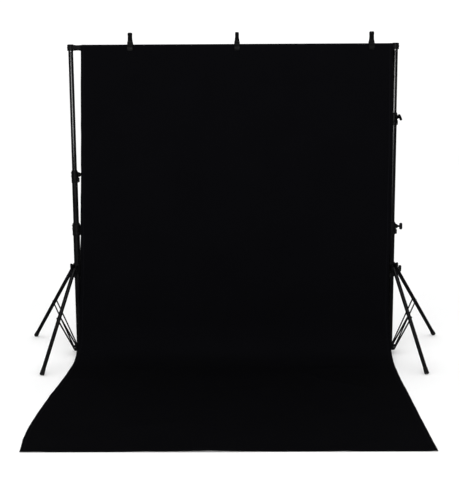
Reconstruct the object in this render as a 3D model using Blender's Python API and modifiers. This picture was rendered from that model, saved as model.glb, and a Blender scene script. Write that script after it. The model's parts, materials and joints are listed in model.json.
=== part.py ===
"""Photo backdrop kit: two folding tripod stands, a sectional crossbar, a draped cloth and spring clamps.

Frame: metres, +Z up, X along the crossbar, -Y towards the front of the cloth, floor at z = 0.
"""

import bpy
import bmesh
from math import atan, cos, pi, radians, sin
from mathutils import Matrix, Vector

# Overall layout
STAND_SPACING = 2.040        # between the two column axes
COLUMN_Y = 0.69595           # columns sit behind the centre of the footprint
GAP = 0.0003                 # running gap between neighbouring pieces
TUBE_SIDES, ROD_SIDES, PIN_SIDES = 20, 14, 10
MERGE = 0.00001              # points closer than this are one point
CUT_MARGIN = 0.001           # how far a cutter passes the face it opens
CHAMFER = 0.0015             # broken edges of turned pieces
PIN_CUT_HALF = 0.02          # half length of a cutter for a cross hole

# Columns: three telescoping tubes per stand
BASE_R, BASE_WALL = 0.0215, 0.0015
MID_R, MID_WALL = 0.0183, 0.0015
TOP_R, TOP_WALL = 0.0155, 0.0014
BASE_BOTTOM = 0.0180
MID_LENGTH = 0.8445
TOP_LENGTH = 0.880
TOP_END = 1.9580

# Clamp collars at the joints of the tubes
LOWER_COLLAR_Z = 0.785
UPPER_COLLAR_Z = {"left": 1.128, "right": 1.488}
COLLAR_HEIGHT = 0.080
COLLAR_LIP = 0.015           # part of a collar above the end of the tube it sits on
COLLAR_R = {"lower": 0.0258, "upper": 0.0215}
COLLAR_SKIRT, COLLAR_STEP, COLLAR_TAPER = 0.024, 0.0015, 0.012
COLLAR_LUG_REACH, COLLAR_LUG_HALF = 0.009, 0.0075
COLLAR_LUG_LOW, COLLAR_LUG_HIGH, COLLAR_LUG_CORNER = 0.003, 0.033, 0.003
BOSS_R, BOSS_REACH = 0.0095, 0.0400

# Crossbar and its end fittings
BAR_Z = 1.981
BAR_R, BAR_WALL = 0.0150, 0.0012
BAR_HALF = 0.988
BAR_SECTIONS = 4
BAR_PLUG_LENGTH = 0.050
BAR_NECK = 0.004             # length over which a section narrows to its plug
FITTING_R, FITTING_BOTTOM, FITTING_TOP = 0.0215, 1.9625, 2.0020
SOCKET_START, SOCKET_R, SOCKET_REACH = 0.0145, 0.0170, 0.066
SPIGOT_R, SPIGOT_TOP, SPIGOT_PLUG = 0.0080, 1.9900, 0.030
GROOVE_BELOW, GROOVE_HALF, GROOVE_DEPTH = 0.013, 0.003, 0.0015

# Legs, braces and their hubs
LEG_AZIMUTH = {"right": (47.7, -72.3, 167.7), "left": (132.3, 252.3, 12.3)}
PIVOT_RADIUS = 0.052         # every hinge circle, upper and lower
HUB_PIVOT_Z = 0.5645
BRACE_PIVOT_Z = 0.0300
LEG_SLOPE = 0.878            # outward run of a leg for each unit of drop
LEG_R, LEG_WALL = 0.0122, 0.0012
LEG_TUBE_END = 0.7355        # from the hub pivot to the tube's lower end
LEG_PLUG = 0.030
LEG_DOME, LEG_DOME_R, LEG_SHOULDER = 0.0115, 0.0075, 0.0068  # rounded top above the pivot
HUB_ABOVE, HUB_BELOW = 0.036, 0.058
HUB_R, HUB_STEP, HUB_SKIRT = 0.0280, 0.003, 0.026
HUB_CLEARANCE = 0.0004       # the leg hub slides on the base tube
CHEEK_ROOT = 0.0225          # cheeks and lugs start inside the wall of their hub
CHEEK_IN, CHEEK_OUT = 0.0126, 0.0158
CHEEK_TOP, CHEEK_CORNER, CHEEK_BELOW = 0.027, 0.0060, 0.0215
CHEEK_END_R = 0.0115
LEG_PIN_R = 0.0030
BRACE_PIN_R = 0.0025
RIVET_HEAD = 0.0016          # how far a rivet stands out of its strip
STRIP_IN, STRIP_OUT, STRIP_HALF_WIDTH = 0.0136, 0.0158, 0.0062
BRACE_HUB_R, BRACE_HUB_BOTTOM, BRACE_HUB_TOP = 0.0260, 0.0120, 0.0560
LUG_HALF_WIDTH, LUG_END_R = 0.0132, 0.0085
FOOT_R, FOOT_LENGTH, FOOT_FLOOR = 0.0144, 0.040, 0.010
FLOOR_CUT = 0.05             # half size and depth of the cutter that flattens a foot

# Knobs
KNOB_STEM_R, KNOB_STEM_IN = 0.0030, 0.0125
KNOB_NECK_R, KNOB_NECK_LENGTH = 0.0068, 0.0140
KNOB_HEAD_LENGTH = 0.0145
KNOB_WING_HALF, KNOB_WING_R = 0.0205, 0.0075
KNOB_AZIMUTH = {
    "left_lower": 12.0, "left_upper": 12.0, "left_leg_hub": 72.3,
    "right_lower": -4.0, "right_upper": -58.0, "right_leg_hub": -12.3,
}
KNOB_TILT = {
    "left_lower": 75, "left_upper": 20, "left_leg_hub": 84,
    "right_lower": 82, "right_upper": 119, "right_leg_hub": 84,
}
COLLAR_KNOB_ABOVE = 0.052    # knob height above the bottom of a collar
HUB_KNOB_BELOW = 0.004       # knob height below the leg pivots

# Cloth, as (y, z) paths from the plane of the columns and as side edges
CLOTH_T = 0.0020
CLOTH_TOP_R = SOCKET_R + 2 * GAP  # the wrap also passes over one fitting's socket
BACK_FLAP_Z = 1.880
WRAP_FRONT_Z = 1.915         # the wrap over the bar ends and the hanging panel begins
WRAP_FRONT_Y = -0.0180
COVE_EDGE_Z = 0.050          # above this the side edges follow the panel, below it the train
SPLIT_Y, SPLIT_Z = -0.0700, 0.230  # the hanging panel ends and the floor train begins
TRAIN_FRONT = -1.8060
TRAIN_STEPS = 8
PANEL_PATH = ((-0.0190, 1.70), (-0.0260, 1.20), (-0.0380, 0.80), (-0.0440, 0.60), (-0.0560, 0.40))
COVE_PATH = ((-0.0880, 0.150), (-0.1150, 0.090), (-0.1550, 0.047), (-0.2150, 0.020), (-0.2900, 0.0060))
FLOOR_START = -0.3600
PANEL_LEFT = ((2.10, -0.9470), (1.00, -0.9650), (0.55, -0.9940), (0.20, -1.0080), (0.00, -1.0150))
PANEL_RIGHT = ((2.10, 0.9885), (1.00, 0.9935), (0.55, 1.0020), (0.20, 1.0100), (0.00, 1.0160))
TRAIN_LEFT = ((0.00, -1.0150), (-0.26, -1.0230), (-0.71, -1.0520), (-1.06, -1.0800), (-1.40, -1.0940),
              (-1.66, -1.0900), (-1.806, -1.0730))
TRAIN_RIGHT = ((0.00, 1.0160), (-0.26, 1.0140), (-0.64, 1.0100), (-1.30, 1.0180), (-1.806, 1.0270))

# Spring clamps
CLAMP_X = (-0.645, 0.026, 0.869)
CLAMP_PIN_Z = 2.0150
CLAMP_PIN_R, CLAMP_PIN_HALF = 0.0022, 0.0140
EAR_R, EAR_T = 0.0066, 0.0030
FRONT_EAR_X, BACK_EAR_X = 0.0090, 0.0055
EAR_ROOT = ((-0.0135, 0.0080), (-0.0130, -0.0070))
ARM_STATIONS = (             # (y inside, z inside, y outside, z outside, half width), handle to jaw
    (-0.0295, 0.0580, -0.0350, 0.0560, 0.0105), (-0.0265, 0.0500, -0.0322, 0.0490, 0.0138),
    (-0.0180, 0.0280, -0.0236, 0.0262, 0.0142), (-0.0110, 0.0080, -0.0168, 0.0066, 0.0150),
    (-0.0100, -0.0040, -0.0165, -0.0050, 0.0185), (-0.0135, -0.0140, -0.0210, -0.0135, 0.0190),
    (-0.0190, -0.0240, -0.0250, -0.0225, 0.0190), (-0.0206, -0.0340, -0.0264, -0.0340, 0.0190),
    (-0.0206, -0.0430, -0.0258, -0.0450, 0.0185), (-0.0206, -0.0520, -0.0232, -0.0550, 0.0170),
)

LEG_ANGLE = atan(LEG_SLOPE)
BRACE_LENGTH = (HUB_PIVOT_Z - BRACE_PIVOT_Z) / (2 * cos(LEG_ANGLE))


def clear_scene():
    for obj in list(bpy.data.objects):
        bpy.data.objects.remove(obj, do_unlink=True)


def named_collection(name):
    found = bpy.data.collections.get(name)
    if found is None:
        found = bpy.data.collections.new(name)
        bpy.context.scene.collection.children.link(found)
    return found


def parts_collection():
    return named_collection("backdrop_kit")


def make_material(name, colour, roughness, metallic):
    mat = bpy.data.materials.new(name)
    mat.use_nodes = True
    shader = mat.node_tree.nodes["Principled BSDF"]
    shader.inputs["Base Color"].default_value = (*colour, 1.0)
    shader.inputs["Roughness"].default_value = roughness
    shader.inputs["Metallic"].default_value = metallic
    return mat


def paint(obj, material):
    obj.data.materials.clear()
    obj.data.materials.append(material)


def link_object(name, data, location, rotation):
    obj = bpy.data.objects.new(name, data)
    obj.location = location
    obj.rotation_euler = rotation
    parts_collection().objects.link(obj)
    return obj


def mesh_object(name, bm, location=(0, 0, 0), rotation=(0, 0, 0)):
    bmesh.ops.recalc_face_normals(bm, faces=bm.faces)
    data = bpy.data.meshes.new(name)
    bm.to_mesh(data)
    bm.free()
    data.shade_smooth()
    data.set_sharp_from_angle(angle=radians(35))
    return link_object(name, data, location, rotation)


def as_cutter(obj):
    named_collection("cutters").objects.link(obj)
    parts_collection().objects.unlink(obj)
    obj.hide_render = True
    obj.display_type = "WIRE"


def combine(obj, other, operation):
    """Boolean the other object into obj; both are given in the same space."""
    as_cutter(other)
    mod = obj.modifiers.new(operation.lower(), "BOOLEAN")
    mod.operation = operation
    mod.solver = "EXACT"
    mod.object = other


def turned(name, profile, segments=TUBE_SIDES, location=(0, 0, 0), rotation=(0, 0, 0), axis="Z"):
    """Solid of revolution: a closed (radius, height) outline, or one that ends on the axis."""
    if outline_area(profile) > 0:
        profile = list(reversed(profile))
    points = [PROFILE_PLACE[axis](radius, height) for radius, height in profile]
    edges = [(i, i + 1) for i in range(len(points) - 1)]
    if all(radius > 0 for radius, height in profile):
        edges.append((len(points) - 1, 0))
    data = bpy.data.meshes.new(name)
    data.from_pydata(points, edges, [])
    obj = link_object(name, data, location, rotation)
    screw = obj.modifiers.new("turn", "SCREW")
    screw.axis = axis
    screw.steps = segments
    screw.render_steps = segments
    screw.use_merge_vertices = True
    screw.merge_threshold = MERGE
    return obj


# The start of a turned profile for each axis: its radius along the next axis round
PROFILE_PLACE = {
    "Z": lambda radius, height: (radius, 0, height),
    "X": lambda radius, height: (height, radius, 0),
    "Y": lambda radius, height: (0, height, radius),
}


def outline_area(outline):
    """Signed area of an outline: positive when it runs up its outer side."""
    total = 0.0
    for (a, b), (c, d) in zip(outline, list(outline[1:]) + [outline[0]]):
        total += a * d - c * b
    return total / 2


ROD_TURN = {
    "X": Matrix.Rotation(pi / 2, 4, "Y"),
    "Y": Matrix.Rotation(-pi / 2, 4, "X"),
    "Z": Matrix.Rotation(-pi / 2, 4, "Z"),
}


def rod(name, radius, start, end, segments=ROD_SIDES, location=(0, 0, 0), rotation=(0, 0, 0), axis="Z"):
    """Cylinder from start to end along an axis."""
    bm = bmesh.new()
    middle = Matrix.Translation((0, 0, (start + end) / 2))
    bmesh.ops.create_cone(bm, cap_ends=True, segments=segments, radius1=radius, radius2=radius,
                          depth=abs(end - start), matrix=ROD_TURN[axis] @ middle)
    return mesh_object(name, bm, location, rotation)


def tube(name, radius, wall, start, end, location):
    outline = ((radius - wall, start), (radius, start), (radius, end), (radius - wall, end))
    return turned(name, outline, TUBE_SIDES, location)


# A flat outline lies in local XY: turned so that it stands in XZ (thick along Y) or in YZ (thick along X)
PRISM_TURN = {
    "Y": Matrix.Rotation(pi / 2, 4, "X"),
    "X": Matrix(((0, 0, 1, 0), (1, 0, 0, 0), (0, 1, 0, 0), (0, 0, 0, 1))),
}


def prism(name, outline, low, high, axis="Y", location=(0, 0, 0), rotation=(0, 0, 0)):
    """Flat outline as a filled 2D curve with a thickness from low to high along an axis, made a mesh."""
    curve = bpy.data.curves.new(name, "CURVE")
    curve.dimensions = "2D"
    curve.fill_mode = "BOTH"
    curve.extrude = (high - low) / 2
    spline = curve.splines.new("POLY")
    spline.points.add(len(outline) - 1)
    for point, (a, b) in zip(spline.points, outline):
        point.co = (a, b, 0, 1)
    spline.use_cyclic_u = True
    flat = link_object(name + "_outline", curve, (0, 0, 0), (0, 0, 0))
    depsgraph = bpy.context.evaluated_depsgraph_get()
    data = bpy.data.meshes.new_from_object(flat.evaluated_get(depsgraph))
    bm = bmesh.new()
    bm.from_mesh(data)
    bmesh.ops.remove_doubles(bm, verts=bm.verts, dist=MERGE)
    offset = Matrix.Translation((low + high) / 2 * Vector((axis == "X", axis == "Y", 0)))
    bm.transform(offset @ PRISM_TURN[axis])
    bpy.data.objects.remove(flat, do_unlink=True)
    bpy.data.meshes.remove(data)
    return mesh_object(name, bm, location, rotation)


def arc(centre_a, centre_b, radius, start_deg, end_deg, steps):
    points = []
    for i in range(steps + 1):
        angle = radians(start_deg + (end_deg - start_deg) * i / steps)
        points.append((centre_a + radius * cos(angle), centre_b + radius * sin(angle)))
    return points


def interpolate(table, value):
    """Piecewise linear value from a table sorted by falling first column."""
    if value >= table[0][0]:
        return table[0][1]
    for (a, fa), (b, fb) in zip(table, table[1:]):
        if value >= b:
            return fb + (fa - fb) * (value - b) / (a - b)
    return table[-1][1]


def column_place(side):
    sign = -1 if side == "left" else 1
    return Vector((sign * STAND_SPACING / 2, COLUMN_Y, 0))


def polar(azimuth_deg, radius):
    angle = radians(azimuth_deg)
    return Vector((radius * cos(angle), radius * sin(angle), 0))


# Stand columns

def column_tubes(side, mats):
    place = column_place(side)
    base_end = LOWER_COLLAR_Z + COLLAR_HEIGHT - COLLAR_LIP - GAP
    mid_end = UPPER_COLLAR_Z[side] + COLLAR_HEIGHT - COLLAR_LIP - GAP
    base = tube(side + "_base_tube", BASE_R, BASE_WALL, BASE_BOTTOM, base_end, place)
    mid = tube(side + "_mid_tube", MID_R, MID_WALL, mid_end - MID_LENGTH, mid_end, place)
    top = tube(side + "_top_tube", TOP_R, TOP_WALL, TOP_END - TOP_LENGTH, TOP_END, place)
    for obj in (base, mid, top):
        paint(obj, mats["painted"])


def collar(side, level, low, outer_tube_r, inner_tube_r, mats):
    """Moulded clamp collar with a pinch lug and a boss for the locking knob."""
    name = "%s_%s_collar" % (side, level)
    place = column_place(side)
    high = low + COLLAR_HEIGHT
    shelf = high - COLLAR_LIP
    r = COLLAR_R[level]
    skirt = low + COLLAR_SKIRT
    outline = (
        (0, low), (r - COLLAR_STEP, low), (r - COLLAR_STEP, skirt), (r, skirt + 0.004),
        (r, high - COLLAR_TAPER), (r - 0.0035, high), (0, high),
    )
    obj = turned(name, outline, TUBE_SIDES, place)
    turn = (0, 0, radians(KNOB_AZIMUTH[side + "_" + level]))
    reach = r + COLLAR_LUG_REACH
    corner, lug_low, lug_high = COLLAR_LUG_CORNER, COLLAR_LUG_LOW, COLLAR_LUG_HIGH
    lug_shape = (
        (outer_tube_r, lug_low), (reach - corner, lug_low), (reach, lug_low + corner),
        (reach, lug_high - corner), (reach - corner, lug_high), (outer_tube_r, lug_high),
    )
    base = place + Vector((0, 0, low))
    lug = prism(name + "_lug", lug_shape, -COLLAR_LUG_HALF, COLLAR_LUG_HALF, "Y", base, turn)
    combine(obj, lug, "UNION")
    at = place + Vector((0, 0, low + COLLAR_KNOB_ABOVE))
    combine(obj, rod(name + "_boss", BOSS_R, outer_tube_r, BOSS_REACH, ROD_SIDES, at, turn, "X"), "UNION")
    bore_outline = (
        (0, low - CUT_MARGIN), (outer_tube_r + GAP, low - CUT_MARGIN), (outer_tube_r + GAP, shelf),
        (inner_tube_r + GAP, shelf), (inner_tube_r + GAP, high + CUT_MARGIN), (0, high + CUT_MARGIN),
    )
    combine(obj, turned(name + "_bore", bore_outline, TUBE_SIDES, place), "DIFFERENCE")
    combine(obj, stem_hole(name, at, turn), "DIFFERENCE")
    paint(obj, mats["plastic"])


def stem_hole(name, at, turn):
    """Cutter for the hole that a knob's stem runs in, from the column axis out through the boss."""
    return rod(name + "_hole", KNOB_STEM_R + GAP, 0.0, BOSS_REACH + CUT_MARGIN, PIN_SIDES, at, turn, "X")


def wing_knob(prefix, at, mats):
    """Wing knob whose stem runs along local +X out of its boss; the wing is tilted about that axis."""
    name = prefix + "_knob"
    azimuth = KNOB_AZIMUTH[prefix]
    start = BOSS_REACH + GAP
    head = start + KNOB_NECK_LENGTH
    end = head + KNOB_HEAD_LENGTH
    outline = (
        (0, BOSS_REACH - KNOB_STEM_IN), (KNOB_STEM_R, BOSS_REACH - KNOB_STEM_IN), (KNOB_STEM_R, start),
        (KNOB_NECK_R, start), (KNOB_NECK_R - 0.0015, (start + head) / 2),
        (KNOB_NECK_R, head), (KNOB_NECK_R, end), (0, end),
    )
    turn = (radians(KNOB_TILT[prefix]), 0, radians(azimuth))
    obj = turned(name, outline, ROD_SIDES, at, turn, "X")
    w, r = KNOB_WING_HALF, KNOB_WING_R
    wing_outline = (
        (0, -w), (r * 0.70, -w + 0.0018), (r, -w + 0.008), (r * 0.80, 0.0),
        (r, w - 0.008), (r * 0.70, w - 0.0018), (0, w),
    )
    wing_at = at + polar(azimuth, (head + end) / 2)
    wing = turned(name + "_wing", wing_outline, ROD_SIDES, wing_at, turn, "Y")
    combine(obj, wing, "UNION")
    paint(obj, mats["plastic"])


def spigot(side, mats):
    """Plug and stud at the top of a column; a shoulder rests on the tube and a groove takes a screw."""
    inside = TOP_R - TOP_WALL - GAP
    shelf = TOP_END + GAP
    low = TOP_END - SPIGOT_PLUG
    shoulder = FITTING_BOTTOM - GAP
    groove = SPIGOT_TOP - GROOVE_BELOW
    outline = (
        (0, low), (inside, low), (inside, shelf), (TOP_R, shelf),
        (TOP_R, shoulder), (SPIGOT_R, shoulder), (SPIGOT_R, groove - GROOVE_HALF),
        (SPIGOT_R - GROOVE_DEPTH, groove), (SPIGOT_R, groove + GROOVE_HALF),
        (SPIGOT_R, SPIGOT_TOP), (0, SPIGOT_TOP),
    )
    paint(turned(side + "_spigot", outline, ROD_SIDES, column_place(side)), mats["steel"])


# Legs

def leg_hub(side, mats):
    """Sliding hub with a pair of cheeks and a pin for every leg, and its own locking knob."""
    place = column_place(side)
    low, high = HUB_PIVOT_Z - HUB_BELOW, HUB_PIVOT_Z + HUB_ABOVE
    skirt = low + HUB_SKIRT
    outline = (
        (0, low), (HUB_R - HUB_STEP, low), (HUB_R - HUB_STEP, skirt),
        (HUB_R, skirt + 0.008), (HUB_R, high - 0.004), (HUB_R - 0.0025, high), (0, high),
    )
    name = side + "_leg_hub"
    obj = turned(name, outline, TUBE_SIDES, place)
    at = place + Vector((0, 0, HUB_PIVOT_Z))
    for index, azimuth in enumerate(LEG_AZIMUTH[side]):
        turn = (0, 0, radians(azimuth))
        for part, low_y in enumerate((CHEEK_IN, -CHEEK_OUT)):
            high_y = low_y + CHEEK_OUT - CHEEK_IN
            cheek_name = "%s_cheek_%d_%d" % (name, index, part)
            combine(obj, prism(cheek_name, cheek_outline(), low_y, high_y, "Y", at, turn), "UNION")
        pin_at = at + polar(azimuth, PIVOT_RADIUS)
        half_pin = CHEEK_OUT - 0.0005
        pin = rod("%s_pin_%d" % (name, index), LEG_PIN_R, -half_pin, half_pin, PIN_SIDES, pin_at, turn, "Y")
        combine(obj, pin, "UNION")
    knob_at = at - Vector((0, 0, HUB_KNOB_BELOW))
    turn = (0, 0, radians(KNOB_AZIMUTH[name]))
    combine(obj, rod(name + "_boss", BOSS_R, CHEEK_ROOT, BOSS_REACH, ROD_SIDES, knob_at, turn, "X"), "UNION")
    bore_r = BASE_R + HUB_CLEARANCE
    bore = rod(name + "_bore", bore_r, low - CUT_MARGIN, high + CUT_MARGIN, TUBE_SIDES, place)
    combine(obj, bore, "DIFFERENCE")
    combine(obj, stem_hole(name, knob_at, turn), "DIFFERENCE")
    paint(obj, mats["plastic"])
    wing_knob(name, knob_at, mats)


def cheek_outline():
    """Side view of a cheek: square shoulder above, round below the pivot."""
    outer = PIVOT_RADIUS + CHEEK_END_R
    shape = [(CHEEK_ROOT, -CHEEK_BELOW), (PIVOT_RADIUS - 0.014, -CHEEK_END_R - 0.004)]
    shape += arc(PIVOT_RADIUS, 0, CHEEK_END_R, -90, 0, 3)
    shape += [(outer, CHEEK_TOP - CHEEK_CORNER), (outer - CHEEK_CORNER, CHEEK_TOP), (CHEEK_ROOT, CHEEK_TOP)]
    return shape


def leg(side, index, azimuth, mats):
    at = column_place(side) + polar(azimuth, PIVOT_RADIUS) + Vector((0, 0, HUB_PIVOT_Z))
    turn = (0, -LEG_ANGLE, radians(azimuth))
    inner = LEG_R - LEG_WALL
    outline = (
        (0, LEG_DOME), (LEG_DOME_R, LEG_DOME - 0.0007), (LEG_R, LEG_SHOULDER), (LEG_R, -LEG_TUBE_END),
        (inner, -LEG_TUBE_END), (inner, -LEG_PLUG), (0, -LEG_PLUG),
    )
    obj = turned("%s_leg_%d" % (side, index), outline, ROD_SIDES, at, turn)
    combine(obj, cross_hole("leg_hub_hole", LEG_PIN_R, at, turn), "DIFFERENCE")
    down = Vector((sin(LEG_ANGLE), 0, -cos(LEG_ANGLE)))
    spread = polar(azimuth, down.x * BRACE_LENGTH) + Vector((0, 0, down.z * BRACE_LENGTH))
    combine(obj, cross_hole("leg_brace_hole", BRACE_PIN_R, at + spread, turn), "DIFFERENCE")
    paint(obj, mats["painted"])
    foot(side, index, azimuth, at, turn, mats)


def cross_hole(name, pin_r, at, turn):
    """Cutter for the hole that a hinge pin runs in."""
    return rod(name, pin_r + GAP, -PIN_CUT_HALF, PIN_CUT_HALF, PIN_SIDES, at, turn, "Y")


def foot(side, index, azimuth, leg_at, turn, mats):
    """Rubber cap over the end of a leg, cut flat where it meets the floor."""
    run = sin(LEG_ANGLE) * LEG_TUBE_END
    at = leg_at + polar(azimuth, run) - Vector((0, 0, cos(LEG_ANGLE) * LEG_TUBE_END))
    r, top = FOOT_R, FOOT_LENGTH - FOOT_FLOOR
    outline = (
        (0, -FOOT_FLOOR), (r - CHAMFER, -FOOT_FLOOR), (r, -FOOT_FLOOR + CHAMFER), (r - 0.0008, top),
        (LEG_R + GAP, top), (LEG_R + GAP, -GAP), (0, -GAP),
    )
    obj = turned("%s_foot_%d" % (side, index), outline, ROD_SIDES, at, turn)
    size = FLOOR_CUT
    below = ((at.x - size, -size), (at.x + size, -size), (at.x + size, 0.0), (at.x - size, 0.0))
    floor = prism("foot_floor_cut", below, at.y - size, at.y + size, "Y")
    combine(obj, floor, "DIFFERENCE")
    paint(obj, mats["rubber"])


def brace(side, index, azimuth, mats):
    """Pair of flat strips joined by a rivet at each end."""
    at = column_place(side) + polar(azimuth, PIVOT_RADIUS) + Vector((0, 0, BRACE_PIVOT_Z))
    turn = (0, LEG_ANGLE, radians(azimuth))
    w, length = STRIP_HALF_WIDTH, BRACE_LENGTH
    shape = arc(0, 0, w, -180, 0, 5) + arc(0, length, w, 0, 180, 5)
    name = "%s_brace_%d" % (side, index)
    obj = prism(name, shape, STRIP_IN, STRIP_OUT, "Y", at, turn)
    second = prism(name + "_strip", shape, -STRIP_OUT, -STRIP_IN, "Y", at, turn)
    combine(obj, second, "UNION")
    half = STRIP_OUT + RIVET_HEAD
    low_rivet = rod(name + "_low_rivet", LEG_PIN_R, -half, half, PIN_SIDES, at, turn, "Y")
    combine(obj, low_rivet, "UNION")
    up = polar(azimuth, sin(LEG_ANGLE) * length) + Vector((0, 0, cos(LEG_ANGLE) * length))
    high_rivet = rod(name + "_high_rivet", BRACE_PIN_R, -half, half, PIN_SIDES, at + up, turn, "Y")
    combine(obj, high_rivet, "UNION")
    paint(obj, mats["painted"])


def brace_hub(side, mats):
    place = column_place(side)
    outline = (
        (0, BRACE_HUB_BOTTOM), (BRACE_HUB_R - 0.006, BRACE_HUB_BOTTOM),
        (BRACE_HUB_R, BRACE_HUB_BOTTOM + 0.004), (BRACE_HUB_R, BRACE_HUB_TOP - 0.003),
        (BRACE_HUB_R - 0.002, BRACE_HUB_TOP), (0, BRACE_HUB_TOP),
    )
    name = side + "_brace_hub"
    obj = turned(name, outline, TUBE_SIDES, place)
    at = place + Vector((0, 0, BRACE_PIVOT_Z))
    for index, azimuth in enumerate(LEG_AZIMUTH[side]):
        turn = (0, 0, radians(azimuth))
        shape = [(CHEEK_ROOT, -LUG_END_R), (CHEEK_ROOT, LUG_END_R)]
        shape += arc(PIVOT_RADIUS, 0, LUG_END_R, 90, -90, 5)
        lug = prism("%s_lug_%d" % (name, index), shape, -LUG_HALF_WIDTH, LUG_HALF_WIDTH, "Y", at, turn)
        combine(obj, lug, "UNION")
    bore_end = BRACE_HUB_TOP + CUT_MARGIN
    bore = rod(name + "_bore", BASE_R + GAP, BASE_BOTTOM - GAP, bore_end, TUBE_SIDES, place)
    combine(obj, bore, "DIFFERENCE")
    for index, azimuth in enumerate(LEG_AZIMUTH[side]):
        turn = (0, 0, radians(azimuth))
        hole = cross_hole("%s_hole_%d" % (name, index), LEG_PIN_R, at + polar(azimuth, PIVOT_RADIUS), turn)
        combine(obj, hole, "DIFFERENCE")
    paint(obj, mats["plastic"])


def stand(side, mats):
    column_tubes(side, mats)
    brace_hub(side, mats)
    leg_hub(side, mats)
    for index, azimuth in enumerate(LEG_AZIMUTH[side], start=1):
        leg(side, index, azimuth, mats)
        brace(side, index, azimuth, mats)
    levels = (("lower", LOWER_COLLAR_Z, BASE_R, MID_R), ("upper", UPPER_COLLAR_Z[side], MID_R, TOP_R))
    for level, low, outer_r, inner_r in levels:
        collar(side, level, low, outer_r, inner_r, mats)
        wing_knob("%s_%s" % (side, level), column_place(side) + Vector((0, 0, low + COLLAR_KNOB_ABOVE)), mats)
    spigot(side, mats)


# Crossbar

def end_fitting(side, mats):
    """Elbow that drops over the stand's spigot and holds the end of the crossbar."""
    place = column_place(side)
    r = FITTING_R
    outline = (
        (0, FITTING_BOTTOM), (r - CHAMFER, FITTING_BOTTOM), (r, FITTING_BOTTOM + CHAMFER),
        (r, FITTING_TOP - 2 * CHAMFER), (r - 2 * CHAMFER, FITTING_TOP), (0, FITTING_TOP),
    )
    obj = turned(side + "_end_fitting", outline, TUBE_SIDES, place)
    well_start, well_end = FITTING_BOTTOM - CUT_MARGIN, SPIGOT_TOP + CUT_MARGIN
    well = rod("fitting_well", SPIGOT_R + GAP, well_start, well_end, ROD_SIDES, place)
    combine(obj, well, "DIFFERENCE")
    inward = 1 if side == "left" else -1
    at = place + Vector((0, 0, BAR_Z))
    socket_outline = (
        (0, SOCKET_START), (SOCKET_R, SOCKET_START), (SOCKET_R, SOCKET_REACH - 0.0010),
        (SOCKET_R - 0.0010, SOCKET_REACH), (0, SOCKET_REACH),
    )
    socket_outline = [(radius, inward * x) for radius, x in socket_outline]
    socket = turned("fitting_socket", socket_outline, 22, at, (0, 0, 0), "X")
    combine(obj, socket, "UNION")
    start = inward * (STAND_SPACING / 2 - BAR_HALF - CUT_MARGIN)
    end = inward * (SOCKET_REACH + CUT_MARGIN)
    bore = rod("fitting_bore", BAR_R + GAP, start, end, TUBE_SIDES, at, (0, 0, 0), "X")
    combine(obj, bore, "DIFFERENCE")
    paint(obj, mats["plastic"])


def bar_sections(mats):
    """Plug-together tubes: each section but the last has a reduced end that fits inside the next."""
    length = 2 * BAR_HALF / BAR_SECTIONS
    inner = BAR_R - BAR_WALL
    plug = inner - GAP
    for index in range(BAR_SECTIONS):
        start = -BAR_HALF + index * length + GAP / 2
        end = start + length - GAP
        outline = [(inner, start), (BAR_R, start), (BAR_R, end)]
        if index < BAR_SECTIONS - 1:
            outline += [(plug, end), (plug, end + BAR_PLUG_LENGTH)]
            outline += [(plug - BAR_WALL, end + BAR_PLUG_LENGTH), (plug - BAR_WALL, end - BAR_NECK)]
            outline += [(inner, end - 2 * BAR_NECK)]
        else:
            outline += [(inner, end)]
        at = (0, COLUMN_Y, BAR_Z)
        obj = turned("crossbar_section_%d" % (index + 1), outline, TUBE_SIDES, at, (0, 0, 0), "X")
        paint(obj, mats["painted"])


# Cloth

def sheet(name, path, left_of, right_of, material):
    """Thick sheet that follows a (y, z) path, with its own side edges."""
    bm = bmesh.new()
    rows = []
    for y, z in path:
        rows.append([bm.verts.new((left_of(y, z), y, z)), bm.verts.new((right_of(y, z), y, z))])
    for a, b in zip(rows, rows[1:]):
        bm.faces.new((a[0], b[0], b[1], a[1]))
    data = bpy.data.meshes.new(name)
    bm.to_mesh(data)
    bm.free()
    obj = link_object(name, data, (0, COLUMN_Y, 0), (0, 0, 0))
    mod = obj.modifiers.new("thickness", "SOLIDIFY")
    mod.thickness = CLOTH_T
    mod.offset = 1.0
    mod.use_even_offset = True
    paint(obj, material)


def cloth_wrap(mats):
    """Top of the cloth: a short back flap and the wrap over the bar."""
    r = CLOTH_TOP_R
    path = [(r, BACK_FLAP_Z)] + arc(0, BAR_Z, r, 0, 180, 12) + [(WRAP_FRONT_Y, WRAP_FRONT_Z)]
    sheet("cloth_wrap", path, panel_left, panel_right, mats["cloth"])


def cloth_panel(mats):
    """Hanging front of the cloth, from just under the bar to the start of the cove."""
    path = [(WRAP_FRONT_Y, WRAP_FRONT_Z - GAP), *PANEL_PATH, (SPLIT_Y, SPLIT_Z + GAP)]
    sheet("cloth_panel", path, panel_left, panel_right, mats["cloth"])


def cloth_train(mats):
    """Floor part: a soft cove at the foot of the panel, then flat to the front edge."""
    path = [(SPLIT_Y, SPLIT_Z), *COVE_PATH]
    for i in range(TRAIN_STEPS + 1):
        path.append((FLOOR_START + (TRAIN_FRONT - FLOOR_START) * i / TRAIN_STEPS, 0.0))
    sheet("cloth_train", path, train_left, train_right, mats["cloth"])


def panel_left(y, z):
    return interpolate(PANEL_LEFT, z)


def panel_right(y, z):
    return interpolate(PANEL_RIGHT, z)


def train_left(y, z):
    return interpolate(PANEL_LEFT, z) if z > COVE_EDGE_Z else interpolate(TRAIN_LEFT, y)


def train_right(y, z):
    return interpolate(PANEL_RIGHT, z) if z > COVE_EDGE_Z else interpolate(TRAIN_RIGHT, y)


# Spring clamps

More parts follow.
